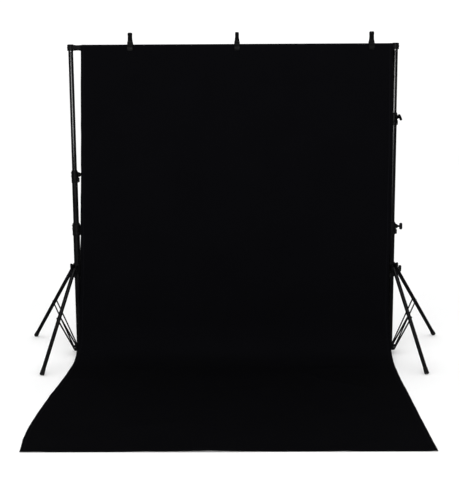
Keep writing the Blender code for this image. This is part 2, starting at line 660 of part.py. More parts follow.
def ribbon_solid(name, stations, at, mirror_y):
    """Closed solid from (y_in, z_in, y_out, z_out, half_width) stations, optionally mirrored in Y."""
    sign = -1 if mirror_y else 1
    bm = bmesh.new()
    loops = []
    for y_in, z_in, y_out, z_out, half in stations:
        corners = ((-half, y_in, z_in), (half, y_in, z_in), (half, y_out, z_out), (-half, y_out, z_out))
        loops.append([bm.verts.new((x, sign * y, z)) for x, y, z in corners])
    for a, b in zip(loops, loops[1:]):
        for i in range(4):
            j = (i + 1) % 4
            bm.faces.new((a[i], a[j], b[j], b[i]))
    bm.faces.new(loops[0])
    bm.faces.new(list(reversed(loops[-1])))
    return mesh_object(name, bm, at)


def clamp_arm(name, x, ear_x, mirror_y, mats):
    """One lever: handle above the pin, jaw round the bar below it, two ears on the pin."""
    at = Vector((x, COLUMN_Y, CLAMP_PIN_Z))
    obj = ribbon_solid(name, ARM_STATIONS, at, mirror_y)
    sign = -1 if mirror_y else 1
    ear = arc(0, 0, EAR_R, -80, 80, 5) + list(EAR_ROOT)
    ear = [(sign * a, b) for a, b in ear]
    for side in (-1, 1):
        low, high = sorted((side * ear_x, side * (ear_x + EAR_T)))
        plate = prism("%s_ear_%d" % (name, side), ear, low, high, "X", at)
        combine(obj, plate, "UNION")
    hole_r, half = CLAMP_PIN_R + GAP, PIN_CUT_HALF
    combine(obj, rod(name + "_hole", hole_r, -half, half, PIN_SIDES, at, (0, 0, 0), "X"), "DIFFERENCE")
    paint(obj, mats["plastic"])


def clamps(mats):
    for index, x in enumerate(CLAMP_X, start=1):
        clamp_arm("clamp_%d_front_arm" % index, x, FRONT_EAR_X, False, mats)
        clamp_arm("clamp_%d_back_arm" % index, x, BACK_EAR_X, True, mats)
        name, at, half = "clamp_%d_pin" % index, (x, COLUMN_Y, CLAMP_PIN_Z), CLAMP_PIN_HALF
        paint(rod(name, CLAMP_PIN_R, -half, half, PIN_SIDES, at, (0, 0, 0), "X"), mats["steel"])


def build():
    clear_scene()
    mats = {
        "painted": make_material("black_painted_metal", (0.018, 0.018, 0.020), 0.32, 0.4),
        "plastic": make_material("black_plastic", (0.022, 0.022, 0.023), 0.55, 0.0),
        "rubber": make_material("black_rubber", (0.015, 0.015, 0.015), 0.85, 0.0),
        "steel": make_material("bright_steel", (0.55, 0.55, 0.56), 0.30, 1.0),
        "cloth": make_material("black_cloth", (0.006, 0.006, 0.007), 0.95, 0.0),
    }
    for side in ("left", "right"):
        stand(side, mats)
        end_fitting(side, mats)
    bar_sections(mats)
    cloth_wrap(mats)
    cloth_panel(mats)
    cloth_train(mats)
    clamps(mats)


build()
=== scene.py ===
import json
from math import atan2, cos, exp, pi, radians, sin, sqrt

import bmesh
import bpy
from mathutils import Matrix, Vector, noise


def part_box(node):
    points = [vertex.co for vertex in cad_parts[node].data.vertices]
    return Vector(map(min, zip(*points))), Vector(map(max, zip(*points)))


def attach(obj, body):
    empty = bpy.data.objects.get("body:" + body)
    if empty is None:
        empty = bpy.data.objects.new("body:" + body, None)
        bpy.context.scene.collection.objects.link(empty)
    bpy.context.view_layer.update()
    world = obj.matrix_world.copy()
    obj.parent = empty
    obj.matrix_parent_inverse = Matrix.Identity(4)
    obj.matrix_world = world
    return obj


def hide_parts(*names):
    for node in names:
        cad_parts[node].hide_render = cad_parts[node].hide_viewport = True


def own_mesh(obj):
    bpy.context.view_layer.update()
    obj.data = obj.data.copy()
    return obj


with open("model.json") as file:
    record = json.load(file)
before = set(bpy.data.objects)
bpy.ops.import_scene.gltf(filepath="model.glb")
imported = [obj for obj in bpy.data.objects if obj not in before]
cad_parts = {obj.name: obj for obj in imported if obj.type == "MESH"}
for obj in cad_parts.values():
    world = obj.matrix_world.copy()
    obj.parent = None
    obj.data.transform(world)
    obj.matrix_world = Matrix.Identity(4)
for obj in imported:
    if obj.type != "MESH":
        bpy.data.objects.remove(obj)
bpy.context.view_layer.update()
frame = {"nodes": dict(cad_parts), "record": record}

RECORD = frame["record"]
JOINTS = {j["name"]: j for j in RECORD["behaviour"]["joints"]}
SIDES = ("left", "right")

# Sizes of the plain solids that the fine ones stand for, in metres
WALL = {"base": 0.0015, "mid": 0.0015, "top": 0.0014}
COLLAR_R = {"lower": 0.0258, "upper": 0.0215}
COLLAR_STEP, COLLAR_TAPER = 0.0015, 0.012
COLLAR_LUG_REACH, COLLAR_LUG_HALF, COLLAR_LUG_HIGH = 0.009, 0.0075, 0.033
BOSS_R, BOSS_FACE = 0.0095, 0.0400   # knob bosses: radius, and reach from the column axis
HUB_R, HUB_STEP = 0.0280, 0.003
CHEEK_OUT = 0.0158           # outer faces of the hub's cheeks, from the middle of the leg
STRIP_OUT = 0.0158           # outer faces of the brace strips
LEG_R, LEG_WALL, LEG_TUBE_END = 0.0122, 0.0012, 0.7355
FITTING_R, SOCKET_R = 0.0215, 0.0170
BAR_R, BAR_WALL = 0.0150, 0.0012
GAP = 0.0003
BAND_SUNK = 0.0006           # how far a raised band's foot lies inside the piece it runs round


# ---------------------------------------------------------------- materials

class Nodes:
    """Small helper round a material's node tree."""

    def __init__(self, name):
        self.mat = bpy.data.materials.new(name)
        self.mat.use_nodes = True
        self.tree = self.mat.node_tree
        self.shader = self.tree.nodes["Principled BSDF"]
        self.coord = self.tree.nodes.new("ShaderNodeTexCoord")

    def add(self, kind, **values):
        node = self.tree.nodes.new("ShaderNode" + kind)
        for key, value in values.items():
            setattr(node, key, value)
        return node

    def link(self, a, b):
        self.tree.links.new(a, b)

    def set(self, **values):
        for key, value in values.items():
            self.shader.inputs[key.replace("_", " ")].default_value = value

    def noise(self, scale, detail=3.0, stretch=(1, 1, 1), source=None):
        mapping = self.add("Mapping")
        mapping.inputs["Scale"].default_value = stretch
        self.link(source or self.coord.outputs["Object"], mapping.inputs["Vector"])
        tex = self.add("TexNoise")
        tex.inputs["Scale"].default_value = scale
        tex.inputs["Detail"].default_value = detail
        self.link(mapping.outputs["Vector"], tex.inputs["Vector"])
        return tex.outputs["Fac"]

    def ramp(self, source, low, high, colour_low, colour_high):
        node = self.add("ValToRGB")
        node.color_ramp.elements[0].position = low
        node.color_ramp.elements[1].position = high
        node.color_ramp.elements[0].color = (*colour_low, 1)
        node.color_ramp.elements[1].color = (*colour_high, 1)
        self.link(source, node.inputs["Fac"])
        return node.outputs["Color"]

    def map_range(self, source, a, b, c, d):
        node = self.add("MapRange")
        node.inputs["From Min"].default_value = a
        node.inputs["From Max"].default_value = b
        node.inputs["To Min"].default_value = c
        node.inputs["To Max"].default_value = d
        self.link(source, node.inputs["Value"])
        return node.outputs["Result"]

    def math(self, operation, a, b=None):
        node = self.add("Math", operation=operation)
        for i, value in enumerate((a, b)):
            if value is None:
                continue
            if isinstance(value, (int, float)):
                node.inputs[i].default_value = value
            else:
                self.link(value, node.inputs[i])
        return node.outputs[0]

    def mix(self, factor, a, b):
        node = self.add("Mix", data_type="RGBA")
        for socket, value in ((node.inputs[0], factor), (node.inputs[6], a), (node.inputs[7], b)):
            if isinstance(value, tuple):
                socket.default_value = (*value, 1)
            elif isinstance(value, (int, float)):
                socket.default_value = value
            else:
                self.link(value, socket)
        return node.outputs[2]

    def bump(self, height, strength, distance):
        node = self.add("Bump")
        node.inputs["Strength"].default_value = strength
        node.inputs["Distance"].default_value = distance
        self.link(height, node.inputs["Height"])
        previous = self.shader.inputs["Normal"].links
        if previous:
            self.link(previous[0].from_socket, node.inputs["Normal"])
        self.link(node.outputs["Normal"], self.shader.inputs["Normal"])

    def edge_wear(self, colour, worn, low=0.52, high=0.62):
        """Lighter convex edges, broken up by noise."""
        geometry = self.add("NewGeometry")
        edges = self.map_range(geometry.outputs["Pointiness"], low, high, 0.0, 1.0)
        broken = self.map_range(self.noise(90, 4), 0.45, 0.62, 0.0, 1.0)
        return self.mix(self.math("MULTIPLY", edges, broken), colour, worn)


def shades(base, low, high):
    """A darker and a lighter version of a colour."""
    return tuple(c * low for c in base), tuple(c * high for c in base)


def painted_metal(name, base, roughness, coat):
    """Satin powder coat: faint orange peel, handled patches and thin wear along edges."""
    n = Nodes(name)
    mottle = n.ramp(n.noise(14, 4), 0.35, 0.7, *shades(base, 0.8, 1.3))
    n.link(n.edge_wear(mottle, (0.014, 0.014, 0.015)), n.shader.inputs["Base Color"])
    handled = n.noise(22, 3, (1, 1, 0.15))
    rough = n.map_range(handled, 0.3, 0.7, roughness - 0.05, roughness + 0.08)
    n.link(rough, n.shader.inputs["Roughness"])
    n.set(Metallic=0.0, Coat_Weight=coat, Coat_Roughness=0.12)
    n.shader.inputs["Specular IOR Level"].default_value = 0.42
    n.bump(n.noise(1100, 2), 0.06, 0.0003)
    n.bump(n.noise(160, 2), 0.03, 0.0005)
    return n.mat


def moulded_plastic(name, base, roughness):
    """Moulded nylon: fine spark-eroded grain, slightly polished on the edges."""
    n = Nodes(name)
    mottle = n.ramp(n.noise(40, 4), 0.35, 0.7, *shades(base, 0.8, 1.3))
    n.link(n.edge_wear(mottle, (0.010, 0.010, 0.011)), n.shader.inputs["Base Color"])
    n.shader.inputs["Specular IOR Level"].default_value = 0.20
    rough = n.map_range(n.noise(120, 3), 0.3, 0.7, roughness - 0.08, roughness + 0.08)
    n.link(rough, n.shader.inputs["Roughness"])
    voronoi = n.add("TexVoronoi")
    voronoi.inputs["Scale"].default_value = 1500
    n.link(n.coord.outputs["Object"], voronoi.inputs["Vector"])
    n.bump(voronoi.outputs["Distance"], 0.18, 0.0002)
    return n.mat


def rubber(name, base):
    """Matt rubber with dust in patches and scuffing near the floor."""
    n = Nodes(name)
    dust = n.map_range(n.noise(60, 5), 0.5, 0.75, 0.0, 0.5)
    colour = n.mix(dust, tuple(base), (0.022, 0.021, 0.020))
    n.shader.inputs["Specular IOR Level"].default_value = 0.2
    separate = n.add("SeparateXYZ")
    n.link(n.coord.outputs["Object"], separate.inputs["Vector"])
    low = n.map_range(separate.outputs["Z"], 0.0, 0.018, 0.45, 0.0)
    n.link(n.mix(low, colour, (0.040, 0.038, 0.036)), n.shader.inputs["Base Color"])
    n.link(n.map_range(n.noise(200, 3), 0.3, 0.7, 0.72, 0.9), n.shader.inputs["Roughness"])
    n.bump(n.noise(700, 3), 0.25, 0.0004)
    return n.mat


def brushed_steel(name, base, stretch):
    n = Nodes(name)
    grain = n.noise(300, 3, stretch)
    n.link(n.ramp(grain, 0.3, 0.7, *shades(base, 0.8, 1.1)), n.shader.inputs["Base Color"])
    n.link(n.map_range(grain, 0.3, 0.7, 0.25, 0.42), n.shader.inputs["Roughness"])
    n.set(Metallic=1.0)
    n.bump(grain, 0.12, 0.0002)
    return n.mat


WEAVE_PITCH = 0.0011
HEM_WIDTH = 0.022
STITCH_INSET = 0.0185
STITCH_PITCH, STITCH_SHARE = 0.0065, 0.72
STITCH_HALF = 0.0009


def woven_cloth(name, base):
    """Plain weave on a UV map in metres; a second UV map holds the distance to the hems."""
    n = Nodes(name)
    uv = n.add("UVMap", uv_map="metres")
    split = n.add("SeparateXYZ")
    n.link(uv.outputs["UV"], split.inputs["Vector"])
    u, v = split.outputs["X"], split.outputs["Y"]
    warp = n.math("SINE", n.math("MULTIPLY", u, pi / WEAVE_PITCH))
    weft = n.math("SINE", n.math("MULTIPLY", v, pi / WEAVE_PITCH))
    weave = n.math("MULTIPLY", warp, weft)
    slub = n.noise(900, 2, (1, 0.12, 1), uv.outputs["UV"])
    shade = n.ramp(n.noise(3.5, 5, (1, 1, 1), uv.outputs["UV"]), 0.3, 0.75, *shades(base, 0.92, 1.1))
    thread = n.math("ADD", n.math("MULTIPLY", weave, 0.22), n.math("MULTIPLY", slub, 0.5))
    fine = n.mix(n.map_range(thread, 0.1, 0.6, 0.0, 0.55), shade, tuple(c * 2.2 for c in base))
    hem = n.add("UVMap", uv_map="hem")
    hem_split = n.add("SeparateXYZ")
    n.link(hem.outputs["UV"], hem_split.inputs["Vector"])
    distance, along = hem_split.outputs["X"], hem_split.outputs["Y"]
    off_line = n.math("ABSOLUTE", n.math("SUBTRACT", distance, STITCH_INSET))
    on_line = n.math("LESS_THAN", off_line, STITCH_HALF)
    beat = n.math("FRACT", n.math("DIVIDE", along, STITCH_PITCH))
    stitch = n.math("MULTIPLY", on_line, n.math("LESS_THAN", beat, STITCH_SHARE))
    n.link(n.mix(stitch, fine, tuple(c * 3.5 for c in base)), n.shader.inputs["Base Color"])
    n.set(Roughness=0.95, Sheen_Weight=0.003, Sheen_Roughness=0.45)
    n.shader.inputs["Sheen Tint"].default_value = (0.55, 0.56, 0.60, 1)
    n.shader.inputs["Specular IOR Level"].default_value = 0.01
    n.bump(weave, 0.35, 0.0002)
    n.bump(stitch, 0.6, 0.0005)
    n.bump(n.noise(45, 4, (1, 1, 1), uv.outputs["UV"]), 0.25, 0.0015)
    return n.mat


def make_materials():
    return {
        "paint": painted_metal("satin_black_coat", (0.0034, 0.0034, 0.0038), 0.20, 0.10),
        # Top tubes: a glossier coat, with the base colour painted a little lighter than the satin coat for
        # the light that falls on the top of the stand
        "gloss_painted_lighter": painted_metal("glossy_black_coat_painted_lighter", (0.0046, 0.0046, 0.0051), 0.15, 0.80),
        "plastic": moulded_plastic("moulded_black", (0.0028, 0.0028, 0.0031), 0.42),
        "rubber": rubber("black_rubber_cap", (0.0050, 0.0050, 0.0050)),
        "steel": brushed_steel("brushed_steel_pin", (0.52, 0.52, 0.53), (1, 1, 12)),
        "dark_steel": brushed_steel("blackened_steel", (0.10, 0.10, 0.105), (12, 1, 1)),
        "cloth": woven_cloth("woven_black_cloth", (0.0020, 0.0020, 0.0025)),
    }


# ---------------------------------------------------------------- mesh helpers

def smooth(obj, angle=40):
    for poly in obj.data.polygons:
        poly.use_smooth = True
    obj.data.set_sharp_from_angle(angle=radians(angle))


def piece(name, bm, key, body, replaced=(), angle=40):
    """Links a finished mesh as a visible piece that rides on a body."""
    bmesh.ops.recalc_face_normals(bm, faces=bm.faces)
    data = bpy.data.meshes.new(name)
    bm.to_mesh(data)
    bm.free()
    obj = bpy.data.objects.new(name, data)
    bpy.context.scene.collection.objects.link(obj)
    data.materials.append(MATS[key])
    smooth(obj, angle)
    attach(obj, body)
    if replaced:
        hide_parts(*replaced)
    return obj


def axes_matrix(origin, x_axis, z_hint):
    """Local X along x_axis, local Z as near to z_hint as it can be."""
    x = Vector(x_axis).normalized()
    y = Vector(z_hint).cross(x).normalized()
    z = x.cross(y)
    m = Matrix((x, y, z)).transposed().to_4x4()
    m.translation = Vector(origin)
    return m


def add_turned(bm, profile, segments, matrix, axis="X", wave=None):
    """Adds a closed solid of revolution; profile is (radius, height) from one pole to the other."""
    rings = []
    for radius, height in profile:
        if radius < 1e-9:
            rings.append([bm.verts.new(matrix @ on_axis(0, 0, height, axis))])
            continue
        ring = []
        for i in range(segments):
            a = 2 * pi * i / segments
            r = radius + (wave(a, height) if wave else 0.0)
            ring.append(bm.verts.new(matrix @ on_axis(r * cos(a), r * sin(a), height, axis)))
        rings.append(ring)
    pairs = list(zip(rings, rings[1:]))
    if len(rings[0]) > 1 and len(rings[-1]) > 1:
        pairs.append((rings[-1], rings[0]))
    for a, b in pairs:
        for i in range(segments):
            j = (i + 1) % segments
            if len(a) == 1:
                bm.faces.new((a[0], b[i], b[j]))
            elif len(b) == 1:
                bm.faces.new((a[i], b[0], a[j]))
            else:
                bm.faces.new((a[i], b[i], b[j], a[j]))


def on_axis(x, y, height, axis):
    return Vector((x, y, height)) if axis == "Z" else Vector((height, x, y))


def add_loft(bm, sections):
    """Adds a closed solid through rings of equal length, capped at both ends."""
    rings = [[bm.verts.new(p) for p in ring] for ring in sections]
    count = len(rings[0])
    for a, b in zip(rings, rings[1:]):
        for i in range(count):
            j = (i + 1) % count
            bm.faces.new((a[i], a[j], b[j], b[i]))
    bm.faces.new(rings[0])
    bm.faces.new(list(reversed(rings[-1])))


def add_dome(bm, centre, direction, radius, height, segments=14):
    """Adds a rivet head: a low dome with a short rim."""
    m = axes_matrix(centre, direction, perpendicular(direction))
    profile = [(0, -0.0006), (radius, -0.0006), (radius, height * 0.25)]
    for i in range(1, 5):
        a = i / 5 * pi / 2
        profile.append((radius * cos(a), height * (0.25 + 0.75 * sin(a))))
    profile.append((0, height))
    add_turned(bm, profile, segments, m)


def perpendicular(direction):
    d = Vector(direction).normalized()
    return Vector((0, 0, 1)) if abs(d.z) < 0.9 else Vector((1, 0, 0))


def add_tube_path(bm, points, radius, segments=10):
    """Adds a round wire through points, with flat ends."""
    rings = []
    normal = None
    for i, p in enumerate(points):
        ahead = points[min(i + 1, len(points) - 1)] - points[max(i - 1, 0)]
        t = ahead.normalized()
        if normal is None:
            normal = t.orthogonal().normalized()
        normal = (normal - t * normal.dot(t)).normalized()
        side = t.cross(normal)
        rings.append([p + radius * (cos(a) * normal + sin(a) * side)
                      for a in (2 * pi * k / segments for k in range(segments))])
    add_loft(bm, rings)


def centre_of(node):
    low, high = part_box(node)
    return (low + high) / 2


def catmull(points, samples):
    """Points on a smooth curve through every given tuple."""
    out = []
    last = len(points) - 1
    for i in range(last):
        p0, p1, p2, p3 = (points[max(i - 1, 0)], points[i], points[i + 1], points[min(i + 2, last)])
        for k in range(samples):
            t = k / samples
            out.append(tuple(
                0.5 * (2 * b + (c - a) * t + (2 * a - 5 * b + 4 * c - d) * t * t
                       + (3 * b - a - 3 * c + d) * t ** 3)
                for a, b, c, d in zip(p0, p1, p2, p3)))
    out.append(tuple(points[-1]))
    return out


# ---------------------------------------------------------------- knobs

KNOB_ROLL = {"left_leg_hub": 84, "right_leg_hub": 84, "left_lower": 75, "left_upper": 20,
             "right_lower": 82, "right_upper": 119}
WING_HALF = 0.0212
WING_SECTIONS = (
    (-1.00, 0.0022, 0.0018), (-0.985, 0.0050, 0.0040), (-0.93, 0.0073, 0.0057), (-0.80, 0.0091, 0.0066),
    (-0.60, 0.0099, 0.0066), (-0.38, 0.0102, 0.0063), (-0.20, 0.0102, 0.0068), (0.0, 0.0102, 0.0074),
)
HEAD_REACH = 0.0192          # from the boss to the middle of the head


def band(r, h, tall, proud=0.0007, crown=0.0009, slope=0.0003):
    """Profile of a raised band round a turned piece of radius r, from height h."""
    return ((r - BAND_SUNK, h), (r + proud, h + slope), (r + crown, h + tall / 2),
            (r + proud, h + tall - slope), (r - BAND_SUNK, h + tall))


def knob_matrix(prefix):
    """Place of a knob, with +X out along its screw, and the name of its plain node."""
    joint = JOINTS[prefix + "_knob_turn"]
    axis = Vector(joint["axis"])
    node = prefix + "_knob"
    column = centre_of(prefix.split("_")[0] + "_base_tube")
    origin = Vector((column.x, column.y, joint["pos_m"][2]))
    roll = Matrix.Rotation(radians(KNOB_ROLL[prefix]) - pi / 2, 4, "X")
    return axes_matrix(origin, axis, (0, 0, 1)) @ roll, node


def build_knob(prefix, body):
    """Wing knob: paddle-shaped head on a fluted neck, with a threaded steel stem."""
    m, node = knob_matrix(prefix)
    head = BOSS_FACE + HEAD_REACH
    sections = []
    full = list(WING_SECTIONS) + [(-t, a, b) for t, a, b in reversed(WING_SECTIONS[:-1])]
    full = catmull(full, 3)
    for t, depth, width in full:
        ring = []
        for k in range(20):
            a = 2 * pi * k / 20
            c, s = cos(a), sin(a)
            x = depth * (abs(c) ** 0.8) * (1 if c >= 0 else -1)
            y = width * (abs(s) ** 0.8) * (1 if s >= 0 else -1)
            ring.append(m @ Vector((head + x, y, WING_HALF * t)))
        sections.append(ring)
    bm = bmesh.new()
    add_loft(bm, sections)
    neck = (
        (0, BOSS_FACE + 0.0004), (0.0060, BOSS_FACE + 0.0004), (0.0068, BOSS_FACE + 0.0012),
        (0.0068, BOSS_FACE + 0.0040), (0.0060, BOSS_FACE + 0.0060), (0.0056, BOSS_FACE + 0.0090),
        (0.0060, head - 0.0060), (0.0064, head - 0.0030), (0, head - 0.0030),
    )
    add_turned(bm, neck, 32, m, wave=lambda a, h: 0.00035 * cos(8 * a))
    piece(prefix + "_wing_knob", bm, "plastic", body, (node,), 50)
    bm = bmesh.new()
    thread = [(0, BOSS_FACE - 0.0115)]
    for i in range(13):
        h = BOSS_FACE - 0.0112 + i * 0.0009
        thread += [(0.0025, h), (0.0030, h + 0.00045)]
    thread += [(0.0026, BOSS_FACE + 0.0007), (0, BOSS_FACE + 0.0007)]
    add_turned(bm, thread, 16, m)
    piece(prefix + "_knob_stem", bm, "steel", body)


# ---------------------------------------------------------------- collars and hubs

COLLAR_RIBS = 20

def boss_ring(bm, origin, axis, reach, radius):
    """Raised lip round the mouth of a knob boss."""
    m = axes_matrix(origin, axis, (0, 0, 1))
    profile = ((radius - 0.0042, reach - 0.0008), (radius + 0.0008, reach - 0.0040),
               (radius + 0.0008, reach - 0.0008), (radius, reach + 0.0001), (radius - 0.0042, reach + 0.0001))
    add_turned(bm, profile, 28, m)


def collar_details(side, level):
    """Grip ribs, raised bands, knob boss, gussets and screws of a clamping collar."""
    node = "%s_%s_collar" % (side, level)
    body = side + ("_base" if level == "lower" else "_mid")
    low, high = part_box(node)
    tube = centre_of(side + ("_base_tube" if level == "lower" else "_mid_tube"))
    joint = JOINTS["%s_%s_knob_turn" % (side, level)]
    axis = Vector(joint["axis"])
    angle = atan2(axis.y, axis.x)
    origin = Vector((tube.x, tube.y, joint["pos_m"][2]))
    forward = Vector((cos(angle), sin(angle), 0))
    sideways = Vector((-sin(angle), cos(angle), 0))
    radius = COLLAR_R[level]
    skirt = radius - COLLAR_STEP
    bm = bmesh.new()
    for i in range(COLLAR_RIBS):
        turn = 2 * pi * (i + 0.5) / COLLAR_RIBS
        if cos(turn) > 0 and abs(sin(turn)) * skirt < COLLAR_LUG_HALF + 0.0015:
            continue
        a = angle + turn
        out = Vector((cos(a), sin(a), 0))
        across = Vector((-sin(a), cos(a), 0))
        spot = Vector((tube.x, tube.y, 0)) + (skirt - 0.0006) * out
        rings = []
        for h, grow in ((low.z + 0.0020, 0.0006), (low.z + 0.0032, 0.0016), (low.z + 0.0215, 0.0016),
                        (low.z + 0.0232, 0.0006)):
            half = 0.0011
            base = Vector((spot.x, spot.y, h))
            rings.append([base - out * 0.0008 - across * half, base + out * grow * 0.6 - across * half,
                          base + out * grow - across * half * 0.5, base + out * grow + across * half * 0.5,
                          base + out * grow * 0.6 + across * half, base - out * 0.0008 + across * half])
        add_loft(bm, rings)
    for h, r, tall in ((low.z + 0.0006, skirt, 0.0016), (high.z - COLLAR_TAPER - 0.0020, radius, 0.0022)):
        shifted = Matrix.Translation((tube.x, tube.y, 0))
        add_turned(bm, band(r, h, tall), 48, shifted, "Z")
    boss_ring(bm, origin, axis, BOSS_FACE, BOSS_R)
    for sign in (-1, 1):
        gusset = []
        for reach, half_h in ((radius - 0.0020, 0.0150), (BOSS_FACE - 0.0050, 0.0085)):
            base = origin + forward * reach + Vector((0, 0, sign * 0.0040))
            across = sideways * 0.0014
            tip = Vector((0, 0, sign * half_h))
            gusset.append([base - across, base + across, base + across + tip, base - across + tip])
        add_loft(bm, gusset)
    piece("%s_%s_collar_ribs" % (side, level), bm, "plastic", body)
    bm = bmesh.new()
    back = -axis
    for dz in (-0.008, 0.012):
        add_screw(bm, origin + back * (radius - 0.0003) + Vector((0, 0, dz)), back)
    lug = Vector((tube.x, tube.y, low.z + COLLAR_LUG_HIGH / 2))
    bolt = lug + forward * (radius + COLLAR_LUG_REACH / 2)
    for sign in (-1, 1):
        add_screw(bm, bolt + sideways * sign * COLLAR_LUG_HALF, sideways * sign, 0.0030)
    piece("%s_%s_collar_screws" % (side, level), bm, "dark_steel", body)


def add_screw(bm, at, direction, radius=0.0034):
    """Pan-head screw with a hexagonal recess."""
    m = axes_matrix(at, direction, perpendicular(direction))
    outer = []
    for r, h in ((radius, -0.0010), (radius, 0.0010), (radius * 0.86, 0.0019), (radius * 0.55, 0.0022)):
        turns = [2 * pi * k / 24 for k in range(24)]
        outer.append([m @ Vector((h, r * cos(a), r * sin(a))) for a in turns])
    hexagon = []
    for h in (0.0022, 0.0009):
        ring = []
        for k in range(24):
            a = 2 * pi * k / 24
            flat = radius * 0.42 * cos(pi / 6) / cos((a % (pi / 3)) - pi / 6)
            ring.append(m @ Vector((h, flat * cos(a), flat * sin(a))))
        hexagon.append(ring)
    add_loft(bm, outer + hexagon)


def hub_details(side):
    """Raised bands, knob boss, ribs and rivets of a leg hub."""
    body = side + "_leg_hub"
    low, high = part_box(body)
    tube = centre_of(side + "_base_tube")
    shifted = Matrix.Translation((tube.x, tube.y, 0))
    bm = bmesh.new()
    skirt = HUB_R - HUB_STEP
    for h, r, tall in ((high.z - 0.0105, HUB_R, 0.0030), (low.z + 0.0010, skirt, 0.0022),
                       (low.z + 0.0200, skirt, 0.0022)):
        add_turned(bm, band(r, h, tall, 0.0009, 0.0012, 0.0004), 48, shifted, "Z")
    knob = JOINTS[side + "_leg_hub_knob_turn"]
    origin = Vector((tube.x, tube.y, knob["pos_m"][2]))
    boss_ring(bm, origin, knob["axis"], BOSS_FACE, BOSS_R)
    ribs = 12
    skip = atan2(knob["axis"][1], knob["axis"][0])
    for i in range(ribs):
        a = skip + 2 * pi * (i + 0.5) / ribs
        out = Vector((cos(a), sin(a), 0))
        across = Vector((-sin(a), cos(a), 0)) * 0.0010
        rings = []
        for h, grow in ((low.z + 0.0034, 0.0004), (low.z + 0.0046, 0.0012), (low.z + 0.0180, 0.0012),
                        (low.z + 0.0192, 0.0004)):
            base = Vector((tube.x, tube.y, h)) + out * (skirt - 0.0007)
            tip = base + out * (0.0007 + grow)
            rings.append([base - across, tip - across * 0.6, tip + across * 0.6, base + across])
        add_loft(bm, rings)
    piece(side + "_leg_hub_ribs", bm, "plastic", body)
    bm = bmesh.new()
    for pivot in leg_pivots(side):
        for sign in (-1, 1):
            outward = pivot["across"] * sign
            add_dome(bm, pivot["at"] + outward * CHEEK_OUT, outward, 0.0052, 0.0020)
    piece(side + "_leg_hub_rivets", bm, "dark_steel", body)


def leg_pivots(side):
    """Upper pivot of every leg, with the direction across it; leg 1 shares the hub's joint."""
    out = []
    for index in (1, 2, 3):
        name = "_hub_pivot" if index == 1 else "_leg_%d_pivot" % index
        joint = JOINTS[side + name]
        out.append({"at": Vector(joint["pos_m"]), "across": Vector(joint["axis"]).normalized()})
    return out


def brace_ends(side, index):
    """Lower and upper pivots of a brace; the lower one is found from the upper by the linkage's symmetry."""
    hub = leg_pivots(side)[index - 1]["at"]
    joint = JOINTS[side + ("_leg_1_pivot" if index == 1 else "_brace_%d_pivot" % index)]
    upper = Vector(joint["pos_m"])
    lower = Vector((hub.x, hub.y, 2 * upper.z - hub.z))
    return lower, upper, Vector(joint["axis"]).normalized()


def brace_details(side, index):
    lower, upper, across = brace_ends(side, index)
    body = "%s_brace_%d" % (side, index)
    bm = bmesh.new()
    for at, radius in ((lower, 0.0050), (upper, 0.0046)):
        for sign in (-1, 1):
            add_dome(bm, at + across * sign * (STRIP_OUT + 0.0002), across * sign, radius, 0.0022)
    piece(body + "_rivets", bm, "dark_steel", body)
    along = (upper - lower).normalized()
    out = across.cross(along)
    bm = bmesh.new()
    for sign in (-1, 1):
        rings = []
        for t, half, lift in ((0.018, 0.0006, 0.0001), (0.030, 0.0016, 0.0008), (0.5, 0.0018, 0.0009),
                              (0.970, 0.0016, 0.0008), (0.982, 0.0006, 0.0001)):
            length = (upper - lower).length
            inset = min(max(t * length, 0.012), length - 0.012) if t in (0.018, 0.982) else t * length
            base = lower + along * inset + across * sign * (STRIP_OUT - 0.0002)
            tip = across * sign * (0.0002 + lift)
            rings.append([base - out * half * 1.6, base - out * half + tip, base + out * half + tip,
                          base + out * half * 1.6])
        add_loft(bm, rings)
    piece(body + "_crease", bm, "paint", body)


# ---------------------------------------------------------------- legs and feet

FOOT_PROFILE = (
    (0, -0.0100), (0.0097, -0.0100), (0.0124, -0.0094), (0.0140, -0.0078), (0.0146, -0.0055),
    (0.0146, -0.0030), (0.0140, -0.0022), (0.0140, -0.0008), (0.0147, 0.0000), (0.0147, 0.0026),
    (0.0140, 0.0034), (0.0140, 0.0048), (0.0146, 0.0056), (0.0146, 0.0082), (0.0139, 0.0090),
    (0.0138, 0.0104), (0.0144, 0.0112), (0.0144, 0.0136), (0.0138, 0.0144), (0.0136, 0.0290),
    (0.0131, 0.0300), (0.0125, 0.0300), (0.0125, 0.0004), (0, 0.0004),
)


def leg_line(side, index):
    """Upper pivot and unit direction down a leg, from the two joints on it."""
    top = leg_pivots(side)[index - 1]["at"]
    _, mid, _ = brace_ends(side, index)
    return top, (mid - top).normalized()


def build_foot(side, index):
    """Ribbed rubber cap, worn flat where it stands on the floor."""
    top, down = leg_line(side, index)
    node = "%s_foot_%d" % (side, index)
    low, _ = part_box(node)
    floor_z = low.z
    length = (top.z - floor_z) / -down.z
    end = top + down * (length - 0.0157)
    m = axes_matrix(end, -down, (0, 0, 1))
    bm = bmesh.new()
    add_turned(bm, FOOT_PROFILE, 40, m)
    everything = bm.verts[:] + bm.edges[:] + bm.faces[:]
    cut = bmesh.ops.bisect_plane(
        bm, geom=everything, plane_co=(0, 0, floor_z), plane_no=(0, 0, 1), clear_inner=True)
    rim = [e for e in cut["geom_cut"] if isinstance(e, bmesh.types.BMEdge)]
    bmesh.ops.holes_fill(bm, edges=rim, sides=0)
    piece("%s_rubber_foot_%d" % (side, index), bm, "rubber", "%s_leg_%d" % (side, index), (node,), 50)


